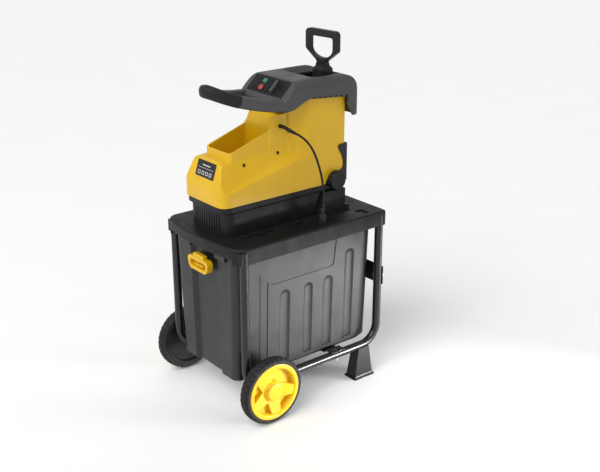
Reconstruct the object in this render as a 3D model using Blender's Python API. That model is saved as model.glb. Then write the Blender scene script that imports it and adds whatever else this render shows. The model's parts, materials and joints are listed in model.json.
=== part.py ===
"""Electric silent garden shredder: a roller shredder on a wheeled tube frame over a collection box.

Metres, +Z up.  Everything is laid out about the middle of the deck, then moved so that the origin is
on the floor under the middle of the whole machine.  The wheels, the handle and the box lock are at the
-Y end, the feet at the +Y end, and the adjusting knob on the +X side.
"""
import math

import bmesh
import bpy
from mathutils import Matrix, Vector

# ---------------------------------------------------------------- driving dimensions
GAP = 0.0003                      # clearance between touching pieces
FOOTPRINT_SHIFT = 0.0127          # from the middle of the deck to the middle of the footprint

DECK_HALF_WIDTH = 0.184
DECK_FRONT = -0.2695              # at the corners; the middle bows further out
DECK_REAR = 0.2695
DECK_BOW = 0.020
DECK_TOP = 0.529
DECK_RIM = 0.483
DECK_FASCIA = 0.497               # raised lower edge of the front, between the corners
FASCIA_HALF = 0.1545               # the box slides out between the deck's front corners
DECK_PLATE = 0.010
DECK_WALL = 0.005

TUBE_RADIUS = 0.0125
UPRIGHT_X = 0.1725
UPRIGHT_REAR = 0.2498
UPRIGHT_FRONT = -0.2486
RAIL_Z = 0.1026
BEND_RADIUS = 0.060
TUBE_TOP = 0.5185

WHEEL_RADIUS = 0.100
AXLE_Y = -0.1955
AXLE_RADIUS = 0.006
AXLE_END = 0.2300
TYRE_INNER_X = 0.1990
TYRE_OUTER_X = 0.2350
RIM_RADIUS = 0.0850
CORE_INNER_X = 0.1975
CORE_OUTER_X = 0.2140
COVER_OUTER_X = 0.2366
SPOKES = 5

BOX_TOP = 0.4945
BOX_BOTTOM = 0.110
BOX_WALL = 0.003

HOUSING_RIGHT = 0.0865
HOUSING_LEFT = -0.1000
HOUSING_FRONT = -0.2545
HOUSING_REAR = 0.188
FRONT_SKEW = 0.035                # the left front corner stands a little further forward
SEAM_Z = 0.6165
WALL = 0.003

DRUM_X = -0.018
DRUM_Z = 0.622
DRUM_RADIUS = 0.046
MOTOR_X = 0.0
MOTOR_Z = 0.600
INTERMEDIATE_X = 0.0271
INTERMEDIATE_Z = 0.6222
KNOB_Y = 0.146
KNOB_Z = 0.626

HOOD_HALF_WIDTH = 0.104
HOOD_TOP = 0.936
CHUTE_HALF_WIDTH = 0.060
CHUTE_FRONT = 0.090
CHUTE_REAR = 0.179

PLUNGER_X = 0.0265
PLUNGER_Y = 0.148
PLUNGER_YAW = math.radians(5)

# ---------------------------------------------------------------- scene and materials
for old in list(bpy.data.objects):
    bpy.data.objects.remove(old, do_unlink=True)

PARTS = bpy.data.collections.new("garden_shredder")
CUTTERS = bpy.data.collections.new("cutters")
bpy.context.scene.collection.children.link(PARTS)
bpy.context.scene.collection.children.link(CUTTERS)


def material(name, colour, roughness, metallic=0.0):
    made = bpy.data.materials.new(name)
    made.use_nodes = True
    shader = made.node_tree.nodes["Principled BSDF"]
    shader.inputs["Base Color"].default_value = (*colour, 1.0)
    shader.inputs["Roughness"].default_value = roughness
    shader.inputs["Metallic"].default_value = metallic
    return made


BLACK = material("black_plastic", (0.035, 0.035, 0.038), 0.55)
DARK_GREY = material("dark_grey_plastic", (0.075, 0.075, 0.080), 0.50)
HOOD_GREY = material("grey_plastic", (0.12, 0.12, 0.125), 0.45)
YELLOW = material("yellow_plastic", (0.78, 0.50, 0.02), 0.32)
TUBE_BLACK = material("black_enamel", (0.02, 0.02, 0.022), 0.25, 0.3)
RUBBER = material("rubber", (0.03, 0.03, 0.03), 0.80)
STEEL = material("steel", (0.55, 0.55, 0.56), 0.30, 1.0)
COPPER = material("copper", (0.70, 0.32, 0.15), 0.35, 1.0)
ALUMINIUM = material("aluminium", (0.70, 0.70, 0.72), 0.35, 1.0)
RED = material("red_plastic", (0.60, 0.03, 0.03), 0.35)
GREEN = material("green_plastic", (0.04, 0.40, 0.18), 0.35)
LABEL = material("label", (0.02, 0.02, 0.02), 0.30)


# ---------------------------------------------------------------- modelling helpers
def add(name, mesh, finish, collection=PARTS):
    made = bpy.data.objects.new(name, mesh)
    made.data.materials.clear()
    made.data.materials.append(finish)
    collection.objects.link(made)
    if collection is CUTTERS:
        made.hide_render = True
        made.display_type = "WIRE"
    return made


def mesh_from(name, work):
    bmesh.ops.recalc_face_normals(work, faces=work.faces)
    mesh = bpy.data.meshes.new(name)
    work.to_mesh(mesh)
    work.free()
    return mesh


def block(name, low, high, finish=BLACK, collection=PARTS):
    work = bmesh.new()
    bmesh.ops.create_cube(work, size=1.0)
    size = Vector(high) - Vector(low)
    bmesh.ops.scale(work, vec=size, verts=work.verts)
    made = add(name, mesh_from(name, work), finish, collection)
    made.location = (Vector(high) + Vector(low)) / 2
    return made


def turned_to(axis):
    return Vector((0, 0, 1)).rotation_difference(Vector(axis)).to_euler()


def rod(name, start, end, radius, finish=STEEL, collection=PARTS, sides=24, end_radius=None):
    """A cylinder or cone from start to end."""
    start, end = Vector(start), Vector(end)
    work = bmesh.new()
    bmesh.ops.create_cone(
        work, cap_ends=True, segments=sides, radius1=radius,
        radius2=radius if end_radius is None else end_radius, depth=(end - start).length,
    )
    made = add(name, mesh_from(name, work), finish, collection)
    made.location = (start + end) / 2
    made.rotation_euler = turned_to(end - start)
    return made


def turned(name, profile, centre, axis, finish, sides=32, collection=PARTS):
    """A closed profile of (radius, height) points turned about an axis through centre."""
    work = bmesh.new()
    points = [work.verts.new((radius, 0.0, height)) for radius, height in profile]
    edges = [work.edges.new(pair) for pair in zip(points, points[1:])]
    on_axis = profile[0][0] == 0.0 and profile[-1][0] == 0.0
    if not on_axis:
        edges.append(work.edges.new((points[-1], points[0])))
    bmesh.ops.spin(
        work, geom=points + edges, cent=(0, 0, 0), axis=(0, 0, 1), angle=2 * math.pi, steps=sides, use_merge=True,
    )
    bmesh.ops.remove_doubles(work, verts=work.verts, dist=0.00001)
    made = add(name, mesh_from(name, work), finish, collection)
    made.location = centre
    made.rotation_euler = turned_to(axis)
    return made


def prism(name, outline, start, end, finish=BLACK, collection=PARTS):
    """A flat outline of 3-D points, swept from offset start to offset end."""
    work = bmesh.new()
    low = [work.verts.new(Vector(p) + Vector(start)) for p in outline]
    high = [work.verts.new(Vector(p) + Vector(end)) for p in outline]
    work.faces.new(low)
    work.faces.new(high)
    for i in range(len(outline)):
        j = (i + 1) % len(outline)
        work.faces.new((low[i], low[j], high[j], high[i]))
    return add(name, mesh_from(name, work), finish, collection)


def loft(name, rings, finish=BLACK, collection=PARTS):
    """Rings of equal point count, skinned one to the next and capped at both ends."""
    work = bmesh.new()
    rows = [[work.verts.new(p) for p in ring] for ring in rings]
    work.faces.new(rows[0])
    work.faces.new(rows[-1])
    count = len(rows[0])
    for row, following in zip(rows, rows[1:]):
        for i in range(count):
            j = (i + 1) % count
            work.faces.new((row[i], row[j], following[j], following[i]))
    return add(name, mesh_from(name, work), finish, collection)


def arc(cx, cy, radius, start, end, steps):
    """Points on an arc, angles in degrees."""
    points = []
    for i in range(steps + 1):
        angle = math.radians(start + (end - start) * i / steps)
        points.append((cx + radius * math.cos(angle), cy + radius * math.sin(angle)))
    return points


def rounded(low, high, radius, steps=4):
    """A rounded rectangle, anticlockwise."""
    (x0, y0), (x1, y1) = low, high
    return (
        arc(x1 - radius, y0 + radius, radius, -90, 0, steps)
        + arc(x1 - radius, y1 - radius, radius, 0, 90, steps)
        + arc(x0 + radius, y1 - radius, radius, 90, 180, steps)
        + arc(x0 + radius, y0 + radius, radius, 180, 270, steps)
    )


def at_height(outline, z):
    return [(x, y, z) for x, y in outline]


def tube(name, points, radius, finish, resolution=2):
    """A round bar along points, as a closed mesh."""
    curve = bpy.data.curves.new(name, "CURVE")
    curve.dimensions = "3D"
    curve.bevel_depth = radius
    curve.bevel_resolution = resolution
    curve.use_fill_caps = True
    spline = curve.splines.new("POLY")
    spline.points.add(len(points) - 1)
    for point, where in zip(spline.points, points):
        point.co = (*where, 1.0)
    guide = bpy.data.objects.new(name + "_curve", curve)
    CUTTERS.objects.link(guide)
    bpy.context.view_layer.update()
    evaluated = guide.evaluated_get(bpy.context.evaluated_depsgraph_get())
    mesh = bpy.data.meshes.new_from_object(evaluated)
    work = bmesh.new()
    work.from_mesh(mesh)
    bmesh.ops.remove_doubles(work, verts=work.verts, dist=0.00001)
    made = add(name, mesh_from(name, work), finish)
    made.matrix_world = guide.matrix_world
    bpy.data.objects.remove(guide)
    return made


def combine(target, tool, operation):
    """Joins or cuts target with tool, and keeps the tool as a hidden cutter."""
    for collection in list(tool.users_collection):
        collection.objects.unlink(tool)
    CUTTERS.objects.link(tool)
    tool.hide_render = True
    tool.display_type = "WIRE"
    step = target.modifiers.new(operation.lower(), "BOOLEAN")
    step.operation = operation
    step.solver = "EXACT"
    step.object = tool
    return target


def cut(target, tool):
    return combine(target, tool, "DIFFERENCE")


def join(target, tool):
    return combine(target, tool, "UNION")


def keep(target, tool):
    return combine(target, tool, "INTERSECT")


def smooth(made, angle=35):
    made.data.shade_smooth()
    made.data.set_sharp_from_angle(angle=math.radians(angle))
    return made


def place(made, frame):
    """Carries a piece made at the origin into a tilted or turned frame."""
    made.matrix_world = frame @ made.matrix_basis


def mirror_x(point):
    return (-point[0], point[1], point[2])


# ---------------------------------------------------------------- deck
def deck_outline(inset=0.0, steps=5):
    """Plan of the deck: square at the back, rounded and bowed at the front."""
    half = DECK_HALF_WIDTH - inset
    front = DECK_FRONT + inset
    rear = DECK_REAR - inset
    corner = 0.028
    small = 0.008
    right = arc(half - corner, front + corner, corner, -60, 0, steps)
    points = right + arc(half - small, rear - small, small, 0, 90, 2)
    points += [(-x, y) for x, y in reversed(points)]
    bow = []
    span = half - corner
    for i in range(1, 8):
        x = -span + 2 * span * i / 8
        bow.append((x, front - DECK_BOW * (1 - (x / half) ** 2)))
    return points + bow


def make_deck():
    deck = prism("deck", at_height(deck_outline(), 0), (0, 0, DECK_RIM), (0, 0, DECK_TOP), BLACK)
    hollow = prism(
        "deck_hollow", at_height(deck_outline(DECK_WALL), 0),
        (0, 0, DECK_RIM - 0.01), (0, 0, DECK_TOP - DECK_PLATE), BLACK, CUTTERS,
    )
    cut(deck, hollow)
    lift = block("fascia_cut", (-FASCIA_HALF, -0.32, DECK_RIM - 0.01), (FASCIA_HALF, -0.255, DECK_FASCIA))
    cut(deck, lift)
    discharge = block("discharge_cut", (-0.066, 0.056, 0.50), (0.050, 0.166, 0.55))
    cut(deck, discharge)
    for side in (1, -1):
        for y in (UPRIGHT_FRONT, UPRIGHT_REAR):
            x = side * UPRIGHT_X
            inner = side * (UPRIGHT_X - 0.020)
            outer = side * (DECK_HALF_WIDTH - 0.002)
            back = y + (0.019 if y < 0 else -0.019)
            edge = DECK_FRONT + 0.002 if y < 0 else DECK_REAR - 0.002
            socket = block(
                "socket", (min(inner, outer), min(back, edge), 0.486),
                (max(inner, outer), max(back, edge), DECK_TOP - DECK_PLATE + 0.0005),
            )
            join(deck, socket)
            hole = rod("socket_hole", (x, y, 0.47), (x, y, TUBE_TOP + GAP), TUBE_RADIUS + GAP, sides=24)
            cut(deck, hole)
    for x, y0, y1 in ((0.100, -0.205, -0.095), (0.104, -0.045, 0.010), (0.100, 0.105, 0.188)):
        for side in (1, -1):
            groove = block(
                "groove", (side * x - 0.003, y0, DECK_TOP - 0.004), (side * x + 0.003, y1, DECK_TOP + 0.01),
            )
            cut(deck, groove)
    cup = rod("cup", (0.146, 0.048, DECK_TOP - 0.004), (0.146, 0.048, DECK_TOP + 0.008), 0.016, sides=24)
    join(deck, cup)
    seat = rod("cup_seat", (0.146, 0.048, DECK_TOP - 0.002), (0.146, 0.048, DECK_TOP + 0.02), 0.0125, sides=24)
    cut(deck, seat)
    return deck


# ---------------------------------------------------------------- tube frame, braces and feet
def frame_path(x):
    """Centre line of one side frame: down the front, along the floor, up the back."""
    low = RAIL_Z + BEND_RADIUS
    points = [(x, UPRIGHT_FRONT, TUBE_TOP), (x, UPRIGHT_FRONT, 0.30)]
    for y, z in arc(UPRIGHT_FRONT + BEND_RADIUS, low, BEND_RADIUS, 180, 270, 6):
        points.append((x, y, z))
    for y, z in arc(UPRIGHT_REAR - BEND_RADIUS, low, BEND_RADIUS, 270, 360, 6):
        points.append((x, y, z))
    points += [(x, UPRIGHT_REAR, 0.30), (x, UPRIGHT_REAR, TUBE_TOP)]
    return points


BRACE_Z = 0.317
STRAP_Y = 0.086
BOLT_RADIUS = 0.003


def make_side_frame(name, side):
    x = side * UPRIGHT_X
    frame = tube(name, frame_path(x), TUBE_RADIUS, TUBE_BLACK, 3)
    smooth(frame)
    axle_hole = rod(
        "axle_hole", (x - 0.03, AXLE_Y, WHEEL_RADIUS), (x + 0.03, AXLE_Y, WHEEL_RADIUS),
        AXLE_RADIUS + GAP, sides=16,
    )
    cut(frame, axle_hole)
    rear_hole = rod(
        "rear_hole", (x, UPRIGHT_REAR, BRACE_Z), (x, UPRIGHT_REAR + 0.03, BRACE_Z), BOLT_RADIUS + GAP, sides=12,
    )
    cut(frame, rear_hole)
    strap_hole = rod("strap_hole", (x, STRAP_Y, 0.08), (x, STRAP_Y, 0.13), BOLT_RADIUS + GAP, sides=12)
    cut(frame, strap_hole)
    return frame


def make_rear_brace():
    y0 = UPRIGHT_REAR + TUBE_RADIUS + GAP
    outline = [(x, 0, z) for x, z in rounded((-0.1820, 0.2865), (0.1820, 0.3475), 0.006, 3)]
    brace = prism("rear_brace", outline, (0, y0, 0), (0, y0 + 0.003, 0), TUBE_BLACK)
    for side in (1, -1):
        x = side * UPRIGHT_X
        cut(brace, rod("hole", (x, 0.25, BRACE_Z), (x, 0.28, BRACE_Z), BOLT_RADIUS + GAP, sides=12))
        bolt = rod(
            "rear_bolt_right" if side > 0 else "rear_bolt_left",
            (x, y0 + 0.003 + GAP, BRACE_Z), (x, y0 + 0.0075, BRACE_Z), 0.0075, STEEL, sides=6,
        )
        shank = rod("shank", (x, 0.2503, BRACE_Z), (x, y0 + 0.005, BRACE_Z), BOLT_RADIUS, sides=12)
        join(bolt, shank)


def make_bottom_brace():
    """A flat strap under the box that steps up over both bottom rails."""
    over = RAIL_Z + TUBE_RADIUS + GAP
    under = BOX_BOTTOM - 0.0035
    thick = 0.0028
    half = [(0.1475, under), (0.1565, over), (0.1860, over)]
    outline = half + [(x, z + thick) for x, z in reversed(half)]
    outline[3] = (0.1860, over + thick)
    outline[4] = (0.1553, over + thick)
    outline[5] = (0.1463, under + thick)
    left = [(-x, z) for x, z in reversed(outline)]
    ring = [(x, STRAP_Y, z) for x, z in outline + left]
    strap = prism("bottom_brace", ring, (0, -0.026, 0), (0, 0.026, 0), TUBE_BLACK)
    for side in (1, -1):
        x = side * UPRIGHT_X
        cut(strap, rod("hole", (x, STRAP_Y, 0.10), (x, STRAP_Y, 0.13), BOLT_RADIUS + GAP, sides=12))
        top = RAIL_Z - TUBE_RADIUS - GAP
        bolt = rod(
            "strap_bolt_right" if side > 0 else "strap_bolt_left",
            (x, STRAP_Y, top - 0.005), (x, STRAP_Y, top), 0.0075, STEEL, sides=6,
        )
        join(bolt, rod("shank", (x, STRAP_Y, top - 0.002), (x, STRAP_Y, 0.1175), BOLT_RADIUS, sides=12))


def make_foot(name, side):
    def ring(half_x, y0, y1, z):
        x = side * 0.1722
        return at_height([(x - half_x, y0), (x + half_x, y0), (x + half_x, y1), (x - half_x, y1)], z)

    foot = loft(name, [
        ring(0.0255, 0.1445, 0.2246, 0.0),
        ring(0.0250, 0.1450, 0.2241, 0.004),
        ring(0.0215, 0.1490, 0.2195, 0.009),
        ring(0.0165, 0.1640, 0.2080, 0.0985),
    ], BLACK)
    seat = tube("foot_seat", frame_path(side * UPRIGHT_X), TUBE_RADIUS + GAP, BLACK, 3)
    cut(foot, seat)
    return foot


# ---------------------------------------------------------------- wheels
def make_wheel(label, side):
    centre = (0, AXLE_Y, WHEEL_RADIUS)
    outward = (side, 0, 0)
    shoulder = 0.008
    tyre = turned("tyre_" + label, [
        (WHEEL_RADIUS - 0.001, TYRE_OUTER_X - shoulder),
        (WHEEL_RADIUS, (TYRE_OUTER_X + TYRE_INNER_X) / 2),
        (WHEEL_RADIUS - 0.001, TYRE_INNER_X + shoulder),
        (WHEEL_RADIUS - 0.0055, TYRE_INNER_X),
        (RIM_RADIUS + GAP, TYRE_INNER_X),
        (RIM_RADIUS + GAP, TYRE_OUTER_X),
        (WHEEL_RADIUS - 0.0055, TYRE_OUTER_X),
    ], centre, outward, RUBBER, 48)
    smooth(tyre)
    bore = AXLE_RADIUS + GAP
    core = turned("wheel_core_" + label, [
        (RIM_RADIUS, CORE_OUTER_X),
        (RIM_RADIUS, CORE_INNER_X),
        (0.076, CORE_INNER_X),
        (0.070, CORE_INNER_X + 0.004),
        (0.022, CORE_INNER_X + 0.004),
        (0.018, CORE_INNER_X),
        (bore, CORE_INNER_X),
        (bore, CORE_OUTER_X),
    ], centre, outward, BLACK, 40)
    smooth(core)
    floor = CORE_OUTER_X + 0.0055
    cover = turned("wheel_cover_" + label, [
        (RIM_RADIUS, COVER_OUTER_X - 0.0012),
        (RIM_RADIUS, CORE_OUTER_X + GAP),
        (bore, CORE_OUTER_X + GAP),
        (bore, COVER_OUTER_X - 0.004),
        (0.0295, COVER_OUTER_X - 0.004),
        (0.0305, floor),
        (0.0690, floor),
        (0.0735, COVER_OUTER_X - 0.003),
        (0.0745, COVER_OUTER_X),
        (0.0840, COVER_OUTER_X),
    ], centre, outward, YELLOW, 40)
    for i in range(SPOKES):
        angle = math.radians(360 * i / SPOKES + 60)
        along = Vector((0, math.cos(angle), math.sin(angle)))
        across = Vector((0, -math.sin(angle), math.cos(angle)))
        middle = Vector(centre)
        outline = [
            middle + along * 0.020 + across * 0.0185,
            middle + along * 0.0765 + across * 0.0105,
            middle + along * 0.0765 - across * 0.0105,
            middle + along * 0.020 - across * 0.0185,
        ]
        base = Vector((side * (floor - 0.001), 0, 0))
        crest = Vector((side * (COVER_OUTER_X - 0.0048), 0, 0))
        join(cover, prism("spoke", outline, base, crest, YELLOW))
    cap_back = COVER_OUTER_X - 0.004 + GAP
    cap = turned("hub_cap_" + label, [
        (0.0, cap_back + 0.006),
        (0.019, cap_back + 0.0056),
        (0.0245, cap_back + 0.0035),
        (0.0255, cap_back),
        (0.0, cap_back),
    ], centre, outward, YELLOW, 32)
    smooth(cap)


def make_axle():
    """A plain rod through both side frames, with a collar inboard of each wheel."""
    axle = rod("axle", (-AXLE_END, AXLE_Y, WHEEL_RADIUS), (AXLE_END, AXLE_Y, WHEEL_RADIUS), AXLE_RADIUS, sides=16)
    for side in (1, -1):
        start = (side * (UPRIGHT_X + TUBE_RADIUS + 0.001), AXLE_Y, WHEEL_RADIUS)
        end = (side * (CORE_INNER_X - GAP), AXLE_Y, WHEEL_RADIUS)
        join(axle, rod("collar", start, end, 0.010, sides=20))


# ---------------------------------------------------------------- collection box and its lock
def box_ring(z, inset=0.0):
    """Plan of the box at a height: it tapers downward, with a shallow recess down the front."""
    rise = (z - BOX_BOTTOM) / (BOX_TOP - BOX_BOTTOM)
    half = 0.1385 + 0.0125 * rise - inset
    front = -0.2590 - 0.0050 * rise + inset
    rear = 0.2325 + 0.0045 * rise - inset
    corner = 0.024 - inset * 0.5
    rear_corner = 0.014 - inset * 0.5
    right = [(0.056 + inset, front + 0.010), (0.068 + inset, front)]
    right += arc(half - corner, front + corner, corner, -90, 0, 3)
    right += arc(half - rear_corner, rear - rear_corner, rear_corner, 0, 90, 2)
    return at_height(right + [(-x, y) for x, y in reversed(right)], z)


RIBS = ((-0.196, -0.166, 0.40), (-0.020, 0.022, 0.36), (0.050, 0.092, 0.36), (0.120, 0.162, 0.36))


def make_box():
    box = loft("collection_box", [box_ring(BOX_BOTTOM), box_ring(BOX_TOP)], BLACK)
    hollow = loft("box_hollow", [
        box_ring(BOX_BOTTOM + BOX_WALL, BOX_WALL), box_ring(BOX_TOP + 0.02, BOX_WALL),
    ], BLACK, CUTTERS)
    ramp = prism("ramp", [(-0.2, 0.13, 0.09), (-0.2, 0.26, 0.09), (-0.2, 0.26, 0.131)],
                 (0, 0, 0), (0.4, 0, 0), BLACK)
    cut(box, ramp)
    inner_ramp = prism("inner_ramp", [(-0.2, 0.12, 0.10), (-0.2, 0.27, 0.10), (-0.2, 0.27, 0.1375)],
                       (0, 0, 0), (0.4, 0, 0), BLACK)
    cut(hollow, inner_ramp)
    cut(box, hollow)
    for side in (1, -1):
        near, far = side * 0.1405, side * 0.1480
        for y0, y1, top in RIBS:
            rib = block("rib", (min(near, far), y0, 0.132), (max(near, far), y1, top))
            join(box, rib)
    return box


LOCK_FRONT = -0.2845
LOCK_BACK = -0.2645 - GAP
LOCK_X = -0.003


def make_lock():
    """The lock: a bar handle with a finger slot, and a tab that reaches up behind the deck's lip."""
    outline = [(x, 0, z) for x, z in rounded((LOCK_X - 0.053, 0.4165), (LOCK_X + 0.053, 0.4565), 0.018, 5)]
    lock = prism("box_lock", outline, (0, LOCK_FRONT, 0), (0, LOCK_BACK, 0), YELLOW)
    slot_outline = [(x, 0, z) for x, z in rounded((LOCK_X - 0.040, 0.4265), (LOCK_X + 0.040, 0.4465), 0.009, 4)]
    slot = prism("finger_slot", slot_outline, (0, LOCK_FRONT - 0.01, 0), (0, LOCK_BACK - 0.004, 0), YELLOW)
    cut(lock, slot)
    tab = block("tab", (LOCK_X - 0.026, LOCK_FRONT + 0.003, 0.450), (LOCK_X + 0.026, LOCK_BACK - 0.003, 0.4665))
    join(lock, tab)
    return lock


# ---------------------------------------------------------------- lower and upper housings
def housing_outline(inset, front, rear, corner=0.026, steps=5, bow=0.004):
    """Plan of the motor housing: a box with rounded front corners and a softly bowed front."""
    middle = (HOUSING_RIGHT + HOUSING_LEFT) / 2
    half = (HOUSING_RIGHT - HOUSING_LEFT) / 2 - inset
    rear_corner = 0.010
    right = []
    for i in range(1, 3):
        x = (half - corner) * i / 3
        right.append((x, front - bow * (1 - (x / (half - corner)) ** 2)))
    right += arc(half - corner, front + corner, corner, -90, 0, steps)
    right += arc(half - rear_corner, rear - rear_corner, rear_corner, 0, 90, 2)
    outline = right + [(-x, y) for x, y in reversed(right)] + [(0.0, front - bow)]
    return [(x + middle, y + FRONT_SKEW * x if y < -0.1 else y) for x, y in outline]


def make_lower_housing():
    front, rear = HOUSING_FRONT + 0.0035, HOUSING_REAR
    base = DECK_TOP + GAP
    narrow = housing_outline(0.003, front + 0.011, rear, 0.024)
    wide = housing_outline(0.0, front, rear)
    lower = loft("lower_housing", [
        at_height(narrow, base), at_height(narrow, SEAM_Z - 0.020),
        at_height(wide, SEAM_Z - 0.016), at_height(wide, SEAM_Z),
    ], BLACK)
    plinth = [(0.080, base), (0.198, base), (0.196, 0.540), (0.181, 0.543), (0.181, 0.5945), (0.102, 0.5945)]
    join(lower, prism("plinth", [(0, y, z) for y, z in plinth], (0.080, 0, 0), (0.0960, 0, 0)))
    inner = housing_outline(0.006, front + 0.0145, rear - WALL, 0.021)
    cut(lower, prism("lower_hollow", at_height(inner, 0), (0, 0, base + WALL), (0, 0, SEAM_Z + 0.02)))
    cut(lower, block("discharge_hole", (-0.0645, 0.0575, 0.52), (0.0485, 0.1645, 0.545)))
    vents = 11
    for i in range(vents):
        x = -0.064 + 0.112 * i / (vents - 1)
        cut(lower, block("vent", (x - 0.0018, front - 0.03, 0.540), (x + 0.0018, front + 0.030, 0.588)))
    return lower


SIDE_PROFILE = (
    (-0.2545, SEAM_Z + GAP), (-0.2580, 0.640), (-0.2570, 0.664), (-0.2515, 0.6850), (-0.2355, 0.7330),
    (-0.2270, 0.7400), (-0.2050, 0.7425),
)
COLLAR_RIGHT = 0.0575
COLLAR_LEFT = -0.0620
COLLAR_FRONT = -0.2085


def motor_section(y):
    """Cross-section of the motor cover at y: upright sides, sloping shoulders, a narrow top."""
    crease = 0.6685 + 0.235 * (y + 0.173)
    base = 0.737 + 0.110 * (y + 0.179)
    left = HOUSING_LEFT + HOUSING_RIGHT - COLLAR_RIGHT
    points = [
        (HOUSING_LEFT, 0.55), (HOUSING_RIGHT, 0.55), (HOUSING_RIGHT, crease), (COLLAR_RIGHT, base),
        (0.030, base + 0.006), (left + 0.026, base + 0.006), (left, base), (HOUSING_LEFT, crease),
    ]
    return [(x, y, z) for x, z in points]


def motor_part(name):
    """The yellow motor cover: side profile, plan and cross-section, intersected."""
    profile = list(SIDE_PROFILE) + [(0.05, 0.7640), (0.05, SIDE_PROFILE[0][1])]
    body = prism(name, [(0, y, z) for y, z in profile], (-0.12, 0, 0), (0.12, 0, 0), YELLOW)
    plan = housing_outline(0.0, HOUSING_FRONT - 0.0015, 0.06, 0.024)
    keep(body, prism("plan", at_height(plan, 0), (0, 0, 0.5), (0, 0, 0.9)))
    keep(body, loft("section", [motor_section(-0.30), motor_section(0.10)]))
    return body


TOWER_TOP = 0.8800


def tower_outline(inset=0.0):
    rear = HOUSING_REAR - inset
    corner = 0.010
    right = [(0.0665 - inset, -0.010 + inset), (0.0700 - inset, 0.012 + inset * 0.5)]
    right.append((HOUSING_RIGHT - inset, 0.048 + inset * 0.3))
    right += arc(HOUSING_RIGHT - inset - corner, rear - corner, corner, 0, 90, 2)
    shift = HOUSING_RIGHT + HOUSING_LEFT
    return right + [(shift - x, y) for x, y in reversed(right)]


def make_upper_housing():
    base = SEAM_Z + GAP
    upper = motor_part("upper_housing")
    join(upper, prism("tower", at_height(tower_outline(), 0), (0, 0, base), (0, 0, TOWER_TOP), YELLOW))
    neck_profile = [
        (-0.0735, 0.70), (0.02, 0.70), (0.02, 0.8455), (-0.046, 0.8455), (-0.0560, 0.826), (-0.0735, 0.801),
    ]
    join(upper, prism("neck", [(0, y, z) for y, z in neck_profile], (-0.062, 0, 0), (0.062, 0, 0), YELLOW))
    collar_profile = [
        (COLLAR_FRONT, 0.700), (-0.05, 0.700), (-0.05, 0.8105), (-0.0735, 0.8015), (COLLAR_FRONT + 0.006, 0.7585),
    ]
    ring = [(0, y, z) for y, z in collar_profile]
    collar = prism("collar", ring, (COLLAR_LEFT, 0, 0), (COLLAR_RIGHT, 0, 0), YELLOW)
    collar_plan = rounded((COLLAR_LEFT, COLLAR_FRONT), (COLLAR_RIGHT, 0.10), 0.016, 4)
    keep(collar, prism("collar_plan", at_height(collar_plan, 0), (0, 0, 0.6), (0, 0, 0.9)))
    join(upper, collar)
    join(upper, rod("boss", (0.050, -0.036, 0.811), (0.0790, -0.036, 0.811), 0.031, YELLOW, sides=32))
    cut(upper, prism("tower_hollow", at_height(tower_outline(WALL), 0), (0, 0, base - 0.01), (0, 0, 0.95)))
    cut(upper, block("motor_hollow", (-0.0615, -0.232, base - 0.01), (0.0505, 0.03, 0.690)))
    inner = housing_outline(WALL, HOUSING_FRONT + 0.0025 + WALL, 0.05, 0.021)
    cut(upper, prism("motor_room", at_height(inner, 0), (0, 0, base - 0.01), (0, 0, 0.660)))
    pocket_plan = rounded((COLLAR_LEFT + 0.005, COLLAR_FRONT + 0.0065), (COLLAR_RIGHT - 0.005, -0.064), 0.013, 4)
    cut(upper, prism("pocket", at_height(pocket_plan, 0), (0, 0, 0.694), (0, 0, 0.90)))
    cut(upper, rod("gland_hole", (0.040, -0.036, 0.811), (0.09, -0.036, 0.811), 0.0065, sides=20))
    cut(upper, rod("screw_hole", (0.06, KNOB_Y, KNOB_Z), (0.10, KNOB_Y, KNOB_Z), 0.0090, sides=24))
    x, y0, y1, z0, z1 = INLET
    cut(upper, block("inlet_hole", (x - 0.02, y0 - GAP, z0 - GAP), (x + 0.02, y1 + GAP, z1 + GAP)))
    for side in (1, -1):
        for place in SCREW_PLACES:
            start, end = screw_axis(place, side)
            cut(upper, rod("recess", start, end, 0.0050, sides=16))
    return upper


INLET = (HOUSING_LEFT, 0.0625, 0.1015, 0.7025, 0.7415)
SCREW_PLACES = ((0.0635, -0.1626, 0.7213), (0.0640, -0.0450, 0.7362))


def screw_axis(place, side):
    """From the bottom of a screw recess in the shoulder to a point outside it."""
    across = Vector((side * 0.905, -0.08, 0.41)).normalized()
    x, y, z = place
    middle = (HOUSING_RIGHT + HOUSING_LEFT) / 2
    surface = Vector((x if side > 0 else 2 * middle - x, y, z))
    return surface - across * 0.0065, surface + across * 0.02


def make_housing_screws():
    labels = {(1, 0): "right_front", (1, 1): "right_rear", (-1, 0): "left_front", (-1, 1): "left_rear"}
    for (side, row), label in labels.items():
        start, end = screw_axis(SCREW_PLACES[row], side)
        along = (end - start).normalized()
        screw = rod("housing_screw_" + label, start + along * GAP, start + along * 0.0035, 0.0046, STEEL, sides=16)
        smooth(screw)


def make_label_plate():
    lean = math.atan2(-0.0160, 0.0480)
    outline = [(x, 0, z) for x, z in rounded((-0.0430, -0.0228), (0.0430, 0.0228), 0.003, 2)]
    plate = prism("label_plate", outline, (0, -GAP, 0), (0, -0.0014, 0), LABEL)
    plate.location = (-0.004, -0.2435, 0.7090)
    plate.rotation_euler = (lean, 0, 0)
    return plate


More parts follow.
